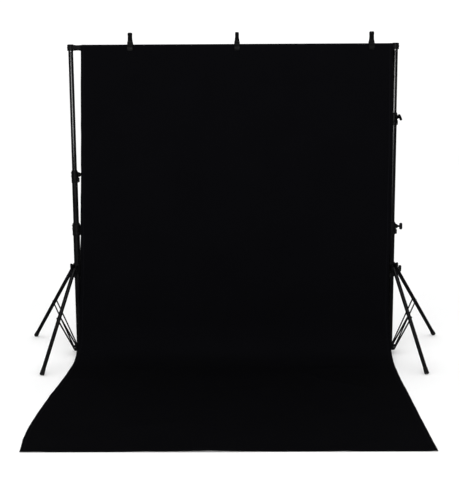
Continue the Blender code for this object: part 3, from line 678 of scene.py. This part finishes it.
def leg_details(side, index):
    """Raised ring of the moulded end plug, near the leg's pivot."""
    top, down = leg_line(side, index)
    m = axes_matrix(top, down, (0, 0, 1))
    bm = bmesh.new()
    ring = ((LEG_R - 0.0001, 0.0155), (LEG_R + 0.0006, 0.0160), (LEG_R + 0.0008, 0.0180),
            (LEG_R + 0.0008, 0.0200), (LEG_R - 0.0001, 0.0206))
    add_turned(bm, ring, 32, m)
    piece("%s_leg_%d_end_plug" % (side, index), bm, "plastic", "%s_leg_%d" % (side, index))


# ---------------------------------------------------------------- crossbar

def fitting_details(side):
    """Raised bands, top cap and screw of an end fitting; the left one's socket also has bands."""
    node = side + "_end_fitting"
    low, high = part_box(node)
    column = centre_of(side + "_top_tube")
    inward = 1 if side == "left" else -1
    bar = centre_of("crossbar_section_1")
    bm = bmesh.new()
    shifted = Matrix.Translation((column.x, column.y, 0))
    for h, r, tall in ((low.z + 0.0012, FITTING_R, 0.0022), (high.z - 0.0060, FITTING_R, 0.0020)):
        add_turned(bm, band(r, h, tall), 48, shifted, "Z")
    cap = ((0.0070, high.z - 0.0004), (0.0130, high.z - 0.0004), (0.0134, high.z + 0.0002),
           (0.0126, high.z + 0.0008), (0.0076, high.z + 0.0008), (0.0068, high.z + 0.0002))
    add_turned(bm, cap, 40, shifted, "Z")
    along = axes_matrix((column.x, bar.y, bar.z), (inward, 0, 0), (0, 0, 1))
    if side == "left":
        for start in (0.0230, 0.0560):
            profile = ((SOCKET_R - 0.0006, start), (SOCKET_R + 0.0010, start + 0.0006),
                       (SOCKET_R + 0.0013, start + 0.0030), (SOCKET_R + 0.0010, start + 0.0078),
                       (SOCKET_R - 0.0006, start + 0.0086))
            add_turned(bm, profile, 48, along)
    piece(side + "_end_fitting_ribs", bm, "plastic", "crossbar")
    bm = bmesh.new()
    outward = Vector((-inward, 0, 0))
    add_screw(bm, Vector((column.x, column.y, low.z + 0.019)) + outward * (FITTING_R - 0.0002), outward)
    piece(side + "_end_fitting_screw", bm, "dark_steel", "crossbar")


# ---------------------------------------------------------------- spring clamps

ARM_STATIONS = (
    (-0.0297, 0.0582, -0.0348, 0.0566, 0.0062), (-0.0292, 0.0568, -0.0346, 0.0550, 0.0098),
    (-0.0265, 0.0500, -0.0322, 0.0490, 0.0120), (-0.0180, 0.0280, -0.0236, 0.0262, 0.0122),
    (-0.0110, 0.0080, -0.0168, 0.0066, 0.0146), (-0.0100, -0.0040, -0.0165, -0.0050, 0.0172),
    (-0.0135, -0.0140, -0.0210, -0.0135, 0.0174), (-0.0190, -0.0240, -0.0250, -0.0225, 0.0174),
    (-0.0206, -0.0340, -0.0264, -0.0340, 0.0174), (-0.0206, -0.0430, -0.0258, -0.0450, 0.0170),
    (-0.0206, -0.0520, -0.0232, -0.0550, 0.0158),
)


def add_channel(bm, stations, place):
    """Lofted lever with raised side ribs and grip ribs across the handle."""
    fine = catmull(stations, 7)
    rings = []
    for i, (y_in, z_in, y_out, z_out, half) in enumerate(fine):
        grip = 0.0007 if i < 24 and i % 4 < 2 else 0.0
        inner, outer = Vector((0, y_in, z_in)), Vector((0, y_out, z_out))
        depth = outer - inner
        step = depth.normalized()
        shape = (
            (-half, 0.10), (-half, 0.85), (-half + 0.0007, 1.00), (-half + 0.0028, 1.00),
            (-half + 0.0036, 0.72),
            (-0.30 * half, 0.72), (0.30 * half, 0.72), (half - 0.0036, 0.72), (half - 0.0028, 1.00),
            (half - 0.0007, 1.00), (half, 0.85), (half, 0.10), (half - 0.0008, 0.0), (-half + 0.0008, 0.0),
        )
        ring = []
        for k, (x, share) in enumerate(shape):
            extra = grip if 3 < k < 8 else 0.0
            ring.append(place(Vector((x, 0, 0)) + inner + depth * share + step * extra))
        rings.append(ring)
    add_loft(bm, rings)


def build_clamp(index):
    joint = JOINTS["clamp_%d_open" % index]
    at = Vector(joint["pos_m"])
    for name, sign, ear_x in (("front", 1, 0.0090), ("back", -1, 0.0055)):
        body = "clamp_%d_%s" % (index, name)
        node = body + "_arm"

        def place(v, sign=sign):
            return at + Vector((v.x, sign * v.y, v.z))

        bm = bmesh.new()
        add_channel(bm, ARM_STATIONS, place)
        for side in (-1, 1):
            low, high = sorted((side * ear_x, side * (ear_x + 0.0030)))
            outline = [(-0.0135, 0.0085), (-0.0060, 0.0072)]
            outline += [(0.0070 * cos(radians(a)), 0.0070 * sin(radians(a))) for a in range(100, -101, -20)]
            outline += [(-0.0060, -0.0066), (-0.0130, -0.0075)]
            rings = []
            for x, shrink in ((low, 0.94), (low + 0.0004, 1.0), (high - 0.0004, 1.0), (high, 0.94)):
                rings.append([place(Vector((x, y * shrink, z * shrink))) for y, z in outline])
            add_loft(bm, rings)
        piece("clamp_%d_%s_lever" % (index, name), bm, "plastic", body, (node,), 45)
        bm = bmesh.new()
        pad = []
        for x, shrink in ((-0.0150, 0.75), (-0.0142, 1.0), (0.0142, 1.0), (0.0150, 0.75)):
            pad.append([place(Vector((x, -0.0195 - y, -0.0420 + z * shrink))) for y, z in (
                (0.0000, 0.0088), (0.0016, 0.0100), (0.0016, -0.0100), (0.0000, -0.0088))])
        add_loft(bm, pad)
        piece("clamp_%d_%s_pad" % (index, name), bm, "rubber", body)
        bm = bmesh.new()
        wire = [place(Vector((0.0045 * (1 if sign > 0 else -1), y, z))) for y, z in (
            (-0.0046, 0.0030), (-0.0075, 0.0085), (-0.0120, 0.0200), (-0.0165, 0.0300))]
        add_tube_path(bm, wire, 0.0009)
        piece("clamp_%d_%s_spring_leg" % (index, name), bm, "steel", body)
    bm = bmesh.new()
    turns, per_turn = 3.5, 16
    coil = []
    for k in range(int(turns * per_turn) + 1):
        a = 2 * pi * k / per_turn
        x = -0.0040 + 0.0080 * k / (turns * per_turn)
        coil.append(at + Vector((x, 0.0048 * cos(a), 0.0048 * sin(a))))
    add_tube_path(bm, coil, 0.0009, 8)
    piece("clamp_%d_spring" % index, bm, "steel", "crossbar")
    bm = bmesh.new()
    for sign in (-1, 1):
        add_dome(bm, at + Vector((sign * 0.0134, 0, 0)), (sign, 0, 0), 0.0044, 0.0018)
    piece("clamp_%d_pin_heads" % index, bm, "steel", "crossbar")


# ---------------------------------------------------------------- cloth

CLOTH_THICKNESS = 0.0012
HEM_THICKNESS = 0.0009
PATTERN_WIDTH = 1.95         # width over which the weave and the hems are laid out


def cloth_edges():
    """Side edges of the plain cloth solids: (height, x) on the hanging part, (depth, x) on the train."""
    tables = {}
    for part, nodes, axis in (("hanging", ("cloth_wrap", "cloth_panel"), 2), ("train", ("cloth_train",), 1)):
        for side, sign in (("left", -1), ("right", 1)):
            points = {}
            for node in nodes:
                for v in frame["nodes"][node].data.vertices:
                    if v.co.x * sign > 0:
                        points[round(v.co[axis], 3)] = v.co.x
            tables[part, side] = sorted(points.items())
    return tables


def lookup(table, value):
    """Straight-line reading of a table of (key, value) pairs, held at both ends."""
    if value <= table[0][0]:
        return table[0][1]
    for a, b in zip(table, table[1:]):
        if value <= b[0]:
            return a[1] + (b[1] - a[1]) * (value - a[0]) / (b[0] - a[0])
    return table[-1][1]


# Sideways trim of the fine cloth's two edges against the plain solids', by height
EDGE_TRIM = {
    "left": ((0.60, 0.0), (0.70, -0.0070), (0.84, -0.0102), (1.05, -0.0152), (1.27, -0.0125),
             (1.54, -0.0085), (1.68, -0.0080), (1.93, -0.0055)),
    "right": ((0.50, 0.0), (0.62, 0.0120), (0.75, 0.0150), (1.70, 0.0150), (1.93, 0.0130)),
}
# How far out the right edge may go at each height, to pass the stand's knobs and ribs. At the height of
# the bar this limit still lets the edge reach into the right end fitting.
EDGE_LIMIT = ((0.62, 1.004), (0.72, 1.0075), (1.88, 1.0075), (1.95, 1.003))


def smoothstep(a, b, x):
    t = min(max((x - a) / (b - a), 0.0), 1.0)
    return t * t * (3 - 2 * t)


BACK_TUCK = 0.012            # the short tail behind the bar is folded in by this much at its left edge

# Inner face of the front sheet from the bar to the floor: (depth from the bar's axis, height)
CLOTH_DROP = (
    (-0.0180, 1.915), (-0.0190, 1.70), (-0.0260, 1.20), (-0.0380, 0.80), (-0.0440, 0.60),
    (-0.0560, 0.40), (-0.0700, 0.230), (-0.0880, 0.150), (-0.1150, 0.090), (-0.1550, 0.047),
    (-0.2150, 0.020), (-0.2900, 0.0060), (-0.3600, 0.0002), (-0.4300, 0.0),
)
WRAP_END, PANEL_END = 1.915, 0.230
CAD_CLOTH = 0.0020           # thickness of the plain cloth solids
MID = 0.0010                 # from their inner face to the middle of the sheet
ROW_SPACING = {"wrap": 0.0055, "panel": 0.020, "train": 0.016}
COLUMN_SPACING = 0.0135


def resample(points, spacing):
    """Evenly spaced points along a polyline, both ends kept exactly."""
    lengths = [0.0]
    for a, b in zip(points, points[1:]):
        lengths.append(lengths[-1] + sqrt((b[0] - a[0]) ** 2 + (b[1] - a[1]) ** 2))
    count = max(2, round(lengths[-1] / spacing))
    out = []
    segment = 0
    for i in range(count + 1):
        want = lengths[-1] * i / count
        while segment < len(points) - 2 and lengths[segment + 1] < want:
            segment += 1
        span = lengths[segment + 1] - lengths[segment]
        t = (want - lengths[segment]) / span
        a, b = points[segment], points[segment + 1]
        out.append((a[0] + (b[0] - a[0]) * t, a[1] + (b[1] - a[1]) * t))
    return out


def cloth_rows():
    """Middle line of the cloth in three stretches: over the bar, hanging, and down to the floor."""
    bar = centre_of("crossbar_section_1")
    wrap_low, wrap_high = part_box("cloth_wrap")
    train_low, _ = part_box("cloth_train")
    radius = wrap_high.z - bar.z - CAD_CLOTH + MID
    over = [(radius, wrap_low.z), (radius, (wrap_low.z + bar.z) / 2)]
    over += [(radius * cos(pi * i / 40), bar.z + radius * sin(pi * i / 40)) for i in range(41)]
    drop = catmull(CLOTH_DROP, 12)
    lifted = []
    for i, (y, z) in enumerate(drop):
        a, b = drop[max(i - 1, 0)], drop[min(i + 1, len(drop) - 1)]
        along = Vector((b[0] - a[0], b[1] - a[1])).normalized()
        lifted.append((y + along.y * MID, max(z - along.x * MID, MID)))
    lifted.append((train_low.y - bar.y, MID))
    wrap = over + [(lifted[0][0], WRAP_END)]
    panel = [p for p in lifted if p[1] > PANEL_END + 0.002]
    train = [p for p in lifted if p[1] < PANEL_END - 0.002]
    join = (CLOTH_DROP[6][0] - MID, PANEL_END)
    panel = [(lifted[0][0], WRAP_END)] + panel[1:] + [join]
    train = [join] + train
    rows = []
    for name, points in (("wrap", wrap), ("panel", panel), ("train", train)):
        stretch = resample(points, ROW_SPACING[name])
        rows.append((name, [(y + bar.y, z) for y, z in stretch]))
    return rows, bar


def ridge(value):
    """Soft crease: one where the noise crosses zero, falling off either side."""
    return max(0.0, 1.0 - abs(value) * 5.0) ** 2


def hanging_fold(x, z, clamps):
    """Forward movement of the hanging cloth, in metres."""
    below = 1.93 - z
    grow = smoothstep(0.0, 0.75, below)
    drift = 0.06 * sin(1.7 * z + 0.6)
    broad = noise.noise(Vector((x * 3.1 + drift, z * 0.22, 3.1)))
    medium = noise.noise(Vector((x * 8.5 + 2 * drift, z * 0.45, 9.4)))
    crease = ridge(noise.noise(Vector((x * 2.3 + 0.35 * z, z * 1.4, 21.0))))
    fold = grow * (0.0075 * broad + 0.0050 * medium + 0.0022 * crease)
    for cx in clamps:
        spread = 0.014 + 0.17 * max(below, 0.0)
        t = (x - cx) / spread
        if abs(t) < 3 and below > 0:
            fade = exp(-below / 0.35)
            fold += 0.0030 * exp(-t * t) * cos(5.5 * t) * fade * smoothstep(0.0, 0.05, below)
    return fold


def floor_ripple(x, y, from_panel):
    """Height of the loose cloth above the floor, in metres."""
    wide = noise.noise(Vector((x * 1.5 + y * 0.5, y * 1.0 - x * 0.3, 7.7)))
    long = ridge(noise.noise(Vector((x * 1.3 + 3.0, y * 2.1 + x * 0.4, 15.2))))
    slant = ridge(noise.noise(Vector((x * 2.4 - y * 1.1, y * 1.6 + x * 0.8, 31.7))))
    patch = smoothstep(-0.1, 0.35, noise.noise(Vector((x * 1.1, y * 0.9, 44.0))))
    height = 0.0060 * smoothstep(0.05, 0.5, wide) + 0.0042 * long * patch + 0.0034 * slant * (1 - patch)
    return height * smoothstep(0.0, 0.25, from_panel)


def cloth_columns(width):
    """Distances from the left edge; closely spaced where the hem steps down."""
    hem = (0.0, 0.0012, 0.0100, HEM_WIDTH - 0.0040, HEM_WIDTH - 0.0012, HEM_WIDTH)
    inner = width - 2 * HEM_WIDTH
    count = round(inner / COLUMN_SPACING)
    middle = [HEM_WIDTH + inner * i / count for i in range(1, count)]
    return list(hem) + middle + [width - d for d in reversed(hem)]


def build_cloth():
    """One continuous sheet, cut into wrap, panel and train because each moves differently."""
    rows, bar = cloth_rows()
    edges = cloth_edges()
    clamps = [JOINTS["clamp_%d_open" % i]["pos_m"][0] for i in (1, 2, 3)]
    base_width = edges["hanging", "right"][-1][1] - edges["hanging", "left"][-1][1]
    steps = [d / base_width for d in cloth_columns(base_width)]
    grid, spans, lengths = [], [], [0.0]
    for name, line in rows:
        first = len(grid) - 1 if grid else 0
        for y, z in (line[1:] if grid else line):
            if grid:
                lengths.append(lengths[-1] + sqrt((y - last[0]) ** 2 + (z - last[1]) ** 2))
            last = (y, z)
            grid.append(cloth_row(name, y, z, bar, steps, edges, clamps))
        spans.append((name, first, len(grid)))
    normals = grid_normals(grid)
    join = spans[1][2] - 1
    for n in normals[join]:
        # Level, so that the two sheets still meet here when the hanging one is squashed
        n.z = 0.0
        n.normalize()
    total = lengths[-1]
    for name, first, end in spans:
        build_sheet(name, grid[first:end], normals[first:end], lengths[first:end], total, steps)


def wander(travel, *waves):
    """Sideways drift of an edge: a sum of noises, each (size, rate, place)."""
    return sum(size * noise.noise(Vector((travel * rate, place, 0))) for size, rate, place in waves)


def cloth_row(name, y, z, bar, steps, edges, clamps):
    """One row of points across the cloth, from its left edge to its right."""
    part, key = ("train", y) if name == "train" else ("hanging", z)
    left, right = lookup(edges[part, "left"], key), lookup(edges[part, "right"], key)
    if name != "train":
        left += lookup(EDGE_TRIM["left"], z)
        right = min(right + lookup(EDGE_TRIM["right"], z), lookup(EDGE_LIMIT, z))
        left += BACK_TUCK * smoothstep(-0.012, 0.012, y - bar.y)
    travel = z if z > 0.05 else y
    calm = smoothstep(0.0, 0.25, 1.95 - z)
    left += calm * wander(travel, (0.0035, 4.2, 5.0), (0.0016, 13, 6.0))
    right += calm * wander(travel, (0.0020, 3.4, 8.0), (0.0010, 11, 9.0))
    hanging = smoothstep(0.02, 0.28, z)
    behind = y > bar.y + 0.005
    out = []
    for t in steps:
        x = left + (right - left) * t
        edge = min(x - left, right - x)
        fold = 0.0 if behind or z > bar.z else hanging_fold(x, z, clamps)
        loose = smoothstep(-0.2, 0.5, noise.noise(Vector((z * 1.6, x * 2, 2.0))))
        curl = 0.008 * exp(-edge / 0.030) * calm * loose
        clear = 0.0045 * smoothstep(0.960, 0.995, x) * calm
        forward = (fold + clear + curl) * (0.35 + 0.65 * hanging)
        lift = floor_ripple(x, y, bar.y - 0.14 - y) * (1 - smoothstep(0.02, PANEL_END, z))
        if behind and z < bar.z - 0.02:
            sway = 0.5 + noise.noise(Vector((x * 5, 0, 12.0)))
            forward = -0.004 * smoothstep(0.0, 0.06, bar.z - 0.02 - z) * sway
        if name == "train" and z < 0.03:
            forward *= smoothstep(0.0, 0.03, z)
        out.append(Vector((x, y - forward, z + lift)))
    return out


def grid_normals(grid):
    """Unit normals of the whole sheet, so its three pieces meet without a step."""
    out = []
    last_row, last_column = len(grid) - 1, len(grid[0]) - 1
    for r, row in enumerate(grid):
        above, below = grid[max(r - 1, 0)], grid[min(r + 1, last_row)]
        line = []
        for c in range(len(row)):
            across = row[min(c + 1, last_column)] - row[max(c - 1, 0)]
            along = below[c] - above[c]
            line.append(across.cross(along).normalized() * -1)
        out.append(line)
    return out


def build_sheet(name, grid, normals, lengths, total, steps):
    """Closed sheet with thicker hems, and two UV maps in metres for the weave and the stitches."""
    width = PATTERN_WIDTH
    bm = bmesh.new()
    uv_metres = bm.loops.layers.uv.new("metres")
    uv_hem = bm.loops.layers.uv.new("hem")
    info = {}
    sides = []
    for sign in (1, -1):
        layer = []
        for row, normal_row, s in zip(grid, normals, lengths):
            line = []
            for p, n, t in zip(row, normal_row, steps):
                edge = min(t, 1 - t) * width
                end = min(s, total - s)
                near = min(edge, end)
                extra = HEM_THICKNESS / 2 * (1 - smoothstep(HEM_WIDTH - 0.0014, HEM_WIDTH, near))
                half = CLOTH_THICKNESS / 2 + extra
                half *= 0.55 + 0.45 * smoothstep(0.0, 0.0011, edge)
                at = p + n * sign * half
                at.z = max(at.z, 0.0003)
                v = bm.verts.new(at)
                info[v] = (t * width, s, near, s if edge < end else t * width)
                line.append(v)
            layer.append(line)
        sides.append(layer)
    front, back = sides
    rows, columns = len(grid), len(steps)
    for r in range(rows - 1):
        for c in range(columns - 1):
            bm.faces.new((front[r][c], front[r + 1][c], front[r + 1][c + 1], front[r][c + 1]))
            bm.faces.new((back[r][c], back[r][c + 1], back[r + 1][c + 1], back[r + 1][c]))
    for r in range(rows - 1):
        for c in (0, columns - 1):
            bm.faces.new((front[r][c], front[r + 1][c], back[r + 1][c], back[r][c]))
    for c in range(columns - 1):
        for r in (0, rows - 1):
            bm.faces.new((front[r][c], front[r][c + 1], back[r][c + 1], back[r][c]))
    for face in bm.faces:
        for loop in face.loops:
            u, v, near, along = info[loop.vert]
            loop[uv_metres].uv = (u, v)
            loop[uv_hem].uv = (near, along)
    body = "left_base" if name == "train" else "crossbar"
    obj = piece("backdrop_" + name, bm, "cloth", body, ("cloth_" + name,), 50)
    if name == "panel":
        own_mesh(obj)


# ---------------------------------------------------------------- tubes, legs and bar

WEAR_RING = 0.0025


def add_pipe(bm, matrix, start, end, radius, wall, axis="Z", segments=56, lip=0.0006):
    """Open-ended tube with softened rims; the rings next to them keep the wear to the rims."""
    inner = radius - wall
    profile = (
        (inner, start + lip), (inner + lip, start), (radius - lip, start), (radius, start + lip),
        (radius, start + WEAR_RING), (radius, end - WEAR_RING),
        (radius, end - lip), (radius - lip, end), (inner + lip, end), (inner, end - lip),
    )
    add_turned(bm, profile, segments, matrix, axis)


def build_tubes(side):
    """The three telescoping tubes of a stand."""
    # The top tubes take the glossier coat whose base colour is painted lighter for the light at the top
    for part, body, key in (("base", side + "_base", "paint"), ("mid", side + "_mid", "paint"),
                            ("top", "crossbar", "gloss_painted_lighter")):
        node = "%s_%s_tube" % (side, part)
        low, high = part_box(node)
        centre = (low + high) / 2
        bm = bmesh.new()
        place = Matrix.Translation((centre.x, centre.y, 0))
        add_pipe(bm, place, low.z, high.z, (high.x - low.x) / 2, WALL[part])
        piece("%s_%s_column" % (side, part), bm, key, body, (node,))


def build_leg(side, index):
    """Leg tube, open at the foot, with a domed plug above its pivot."""
    top, down = leg_line(side, index)
    m = axes_matrix(top, down, (0, 0, 1))
    r, bore, end = LEG_R, LEG_R - LEG_WALL, LEG_TUBE_END
    profile = (
        (0, -0.0115), (0.36 * r, -0.0113), (0.68 * r, -0.0104), (0.86 * r, -0.0088), (0.96 * r, -0.0068),
        (r, -0.0050), (r, 0.0120), (r, end - WEAR_RING), (r, end - 0.0006), (r - 0.0006, end),
        (bore + 0.0003, end), (bore, end - 0.0004), (bore, 0.0300), (0, 0.0300),
    )
    bm = bmesh.new()
    add_turned(bm, profile, 48, m)
    leg = "%s_leg_%d" % (side, index)
    piece(leg + "_tube", bm, "paint", leg, (leg,))


def build_bar():
    """Four bar sections; each but the last ends in a narrower swaged plug that fits into the next."""
    for index in range(1, 5):
        node = "crossbar_section_%d" % index
        low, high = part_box(node)
        centre = (low + high) / 2
        end = high.x if index == 4 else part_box("crossbar_section_%d" % (index + 1))[0].x - GAP
        place = Matrix.Translation((0, centre.y, centre.z))
        bm = bmesh.new()
        r, wall = BAR_R, BAR_WALL
        inner = r - wall
        start = low.x
        plug = inner - GAP
        profile = [(inner, start + 0.0004), (r - 0.0004, start), (r, start + 0.0004), (r, start + WEAR_RING),
                   (r, end - WEAR_RING), (r, end - 0.0004), (r - 0.0004, end)]
        if index < 4:
            profile += [(plug, end), (plug, high.x - 0.0010), (plug - 0.0010, high.x), (plug - wall, high.x),
                        (plug - wall, end - 0.004), (inner, end - 0.008)]
        else:
            profile += [(inner, end)]
        add_turned(bm, profile, 56, place)
        piece("bar_section_%d" % index, bm, "paint", "crossbar", (node,))


def build_spigot(side):
    """Brushed stud on top of the column, with a groove for the fitting's screw."""
    node = side + "_spigot"
    low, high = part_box(node)
    centre = (low + high) / 2
    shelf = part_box(side + "_top_tube")[1].z + GAP
    r, big = 0.0080, (high.x - low.x) / 2
    inside = big - WALL["top"] - GAP
    profile = (
        (0, low.z), (inside - 0.0008, low.z), (inside, low.z + 0.0008), (inside, shelf),
        (big - 0.0004, shelf),
        (big, shelf + 0.0004), (big, shelf + 0.0036), (big - 0.0004, shelf + 0.0039), (r, shelf + 0.0039),
        (r, high.z - 0.0160), (r - 0.0015, high.z - 0.0135), (r - 0.0015, high.z - 0.0125),
        (r, high.z - 0.0100), (r, high.z - 0.0012), (r - 0.0012, high.z), (0, high.z),
    )
    bm = bmesh.new()
    add_turned(bm, profile, 48, Matrix.Translation((centre.x, centre.y, 0)), "Z")
    piece(side + "_stud", bm, "steel", "crossbar", (node,))


# ---------------------------------------------------------------- carried-over CAD nodes

CARRIED = {
    "plastic": ("brace_hub", "leg_hub", "lower_collar", "upper_collar", "end_fitting"),
    "paint": ("brace_1", "brace_2", "brace_3"),
}
ROUNDED = {"plastic": 0.0007, "paint": 0.0004}


def dress_cad_nodes():
    for key, parts in CARRIED.items():
        for side in SIDES:
            for part in parts:
                dress(frame["nodes"]["%s_%s" % (side, part)], MATS[key], ROUNDED[key])
    for index in (1, 2, 3):
        dress(frame["nodes"]["clamp_%d_pin" % index], MATS["steel"], 0.0003)


def dress(obj, material, radius):
    """Puts a material on a CAD node and rounds its edges with a modifier."""
    if not obj.material_slots:
        obj.data.materials.append(material)
    for slot in obj.material_slots:
        slot.material = material
    bevel = obj.modifiers.new("soft_edges", "BEVEL")
    bevel.width = radius
    bevel.segments = 2
    bevel.limit_method = "ANGLE"
    bevel.angle_limit = radians(38)
    bevel.harden_normals = False


# ---------------------------------------------------------------- studio

CAMERA_DISTANCE = 7.0513
CAMERA_PLACE = (0.0327, -CAMERA_DISTANCE, 2.0368)     # from the plane of the columns
CAMERA_YAW, CAMERA_PITCH, CAMERA_ROLL = -0.0082, 0.1896, -0.0055
CAMERA_LENS, CAMERA_SENSOR = 79.55, 36.0


def add_camera(column_y):
    data = bpy.data.cameras.new("studio_camera")
    data.sensor_width = CAMERA_SENSOR
    data.lens = CAMERA_LENS
    data.clip_end = 200
    cam = bpy.data.objects.new("studio_camera", data)
    bpy.context.scene.collection.objects.link(cam)
    yaw, pitch, roll = CAMERA_YAW, CAMERA_PITCH, CAMERA_ROLL
    forward = Vector((sin(yaw) * cos(pitch), cos(yaw) * cos(pitch), -sin(pitch)))
    right = Vector((cos(yaw), -sin(yaw), 0))
    up = right.cross(forward)
    turned_right = cos(roll) * right + sin(roll) * up
    turned_up = -sin(roll) * right + cos(roll) * up
    m = Matrix((turned_right, turned_up, -forward)).transposed().to_4x4()
    m.translation = (CAMERA_PLACE[0], column_y + CAMERA_PLACE[1], CAMERA_PLACE[2])
    cam.matrix_world = m
    bpy.context.scene.camera = cam


def add_softbox(name, place, target, width, height, watts):
    data = bpy.data.lights.new(name, "AREA")
    data.shape = "RECTANGLE"
    data.size = width
    data.size_y = height
    data.energy = watts
    light = bpy.data.objects.new(name, data)
    bpy.context.scene.collection.objects.link(light)
    direction = Vector(target) - Vector(place)
    m = direction.to_track_quat("-Z", "Y").to_matrix().to_4x4()
    m.translation = place
    light.matrix_world = m
    light.visible_camera = False


def add_floor():
    mesh = bpy.data.meshes.new("studio_floor")
    bm = bmesh.new()
    bmesh.ops.create_grid(bm, x_segments=4, y_segments=4, size=60)
    bm.to_mesh(mesh)
    bm.free()
    floor = bpy.data.objects.new("studio_floor", mesh)
    floor.location.z = -0.0006
    bpy.context.scene.collection.objects.link(floor)
    n = Nodes("pale_floor")
    pale = n.ramp(n.noise(0.7, 3), 0.3, 0.7, (0.90, 0.90, 0.90), (0.94, 0.94, 0.94))
    n.link(pale, n.shader.inputs["Base Color"])
    n.set(Roughness=0.9)
    n.shader.inputs["Specular IOR Level"].default_value = 0.0
    mesh.materials.append(n.mat)
    floor.visible_glossy = False


def add_world():
    """White seen directly and by matt surfaces; dim in reflections, so that gloss stays dark."""
    world = bpy.data.worlds.new("studio")
    bpy.context.scene.world = world
    world.use_nodes = True
    tree = world.node_tree
    background = tree.nodes["Background"]
    background.inputs["Color"].default_value = (1, 1, 1, 1)
    path = tree.nodes.new("ShaderNodeLightPath")
    level = tree.nodes.new("ShaderNodeMapRange")
    level.inputs["To Min"].default_value = 1.12
    level.inputs["To Max"].default_value = 0.03
    tree.links.new(path.outputs["Is Glossy Ray"], level.inputs["Value"])
    tree.links.new(level.outputs["Result"], background.inputs["Strength"])


def add_studio():
    column_y = centre_of("crossbar_section_1").y
    add_camera(column_y)
    middle = (0, column_y, 0.9)
    add_softbox("key_softbox", (-1.3, column_y - 6.6, 1.25), middle, 2.4, 1.0, 62)
    add_softbox("fill_softbox", (1.3, column_y - 6.8, 1.25), middle, 1.2, 1.0, 18)
    add_softbox("top_softbox", (0, column_y - 1.2, 4.6), (0, column_y - 0.6, 0), 3.2, 3.2, 20)
    add_floor()
    add_world()
    bpy.context.scene.view_settings.view_transform = "Standard"


# ---------------------------------------------------------------- build

MATS = make_materials()
for side in SIDES:
    build_tubes(side)
    build_spigot(side)
    fitting_details(side)
    hub_details(side)
    for level in ("lower", "upper"):
        collar_details(side, level)
    build_knob(side + "_lower", side + "_lower_knob")
    build_knob(side + "_upper", side + "_upper_knob")
    build_knob(side + "_leg_hub", side + "_leg_hub_knob")
    for index in (1, 2, 3):
        build_leg(side, index)
        build_foot(side, index)
        leg_details(side, index)
        brace_details(side, index)
build_bar()
build_cloth()
for index in (1, 2, 3):
    build_clamp(index)
dress_cad_nodes()
add_studio()
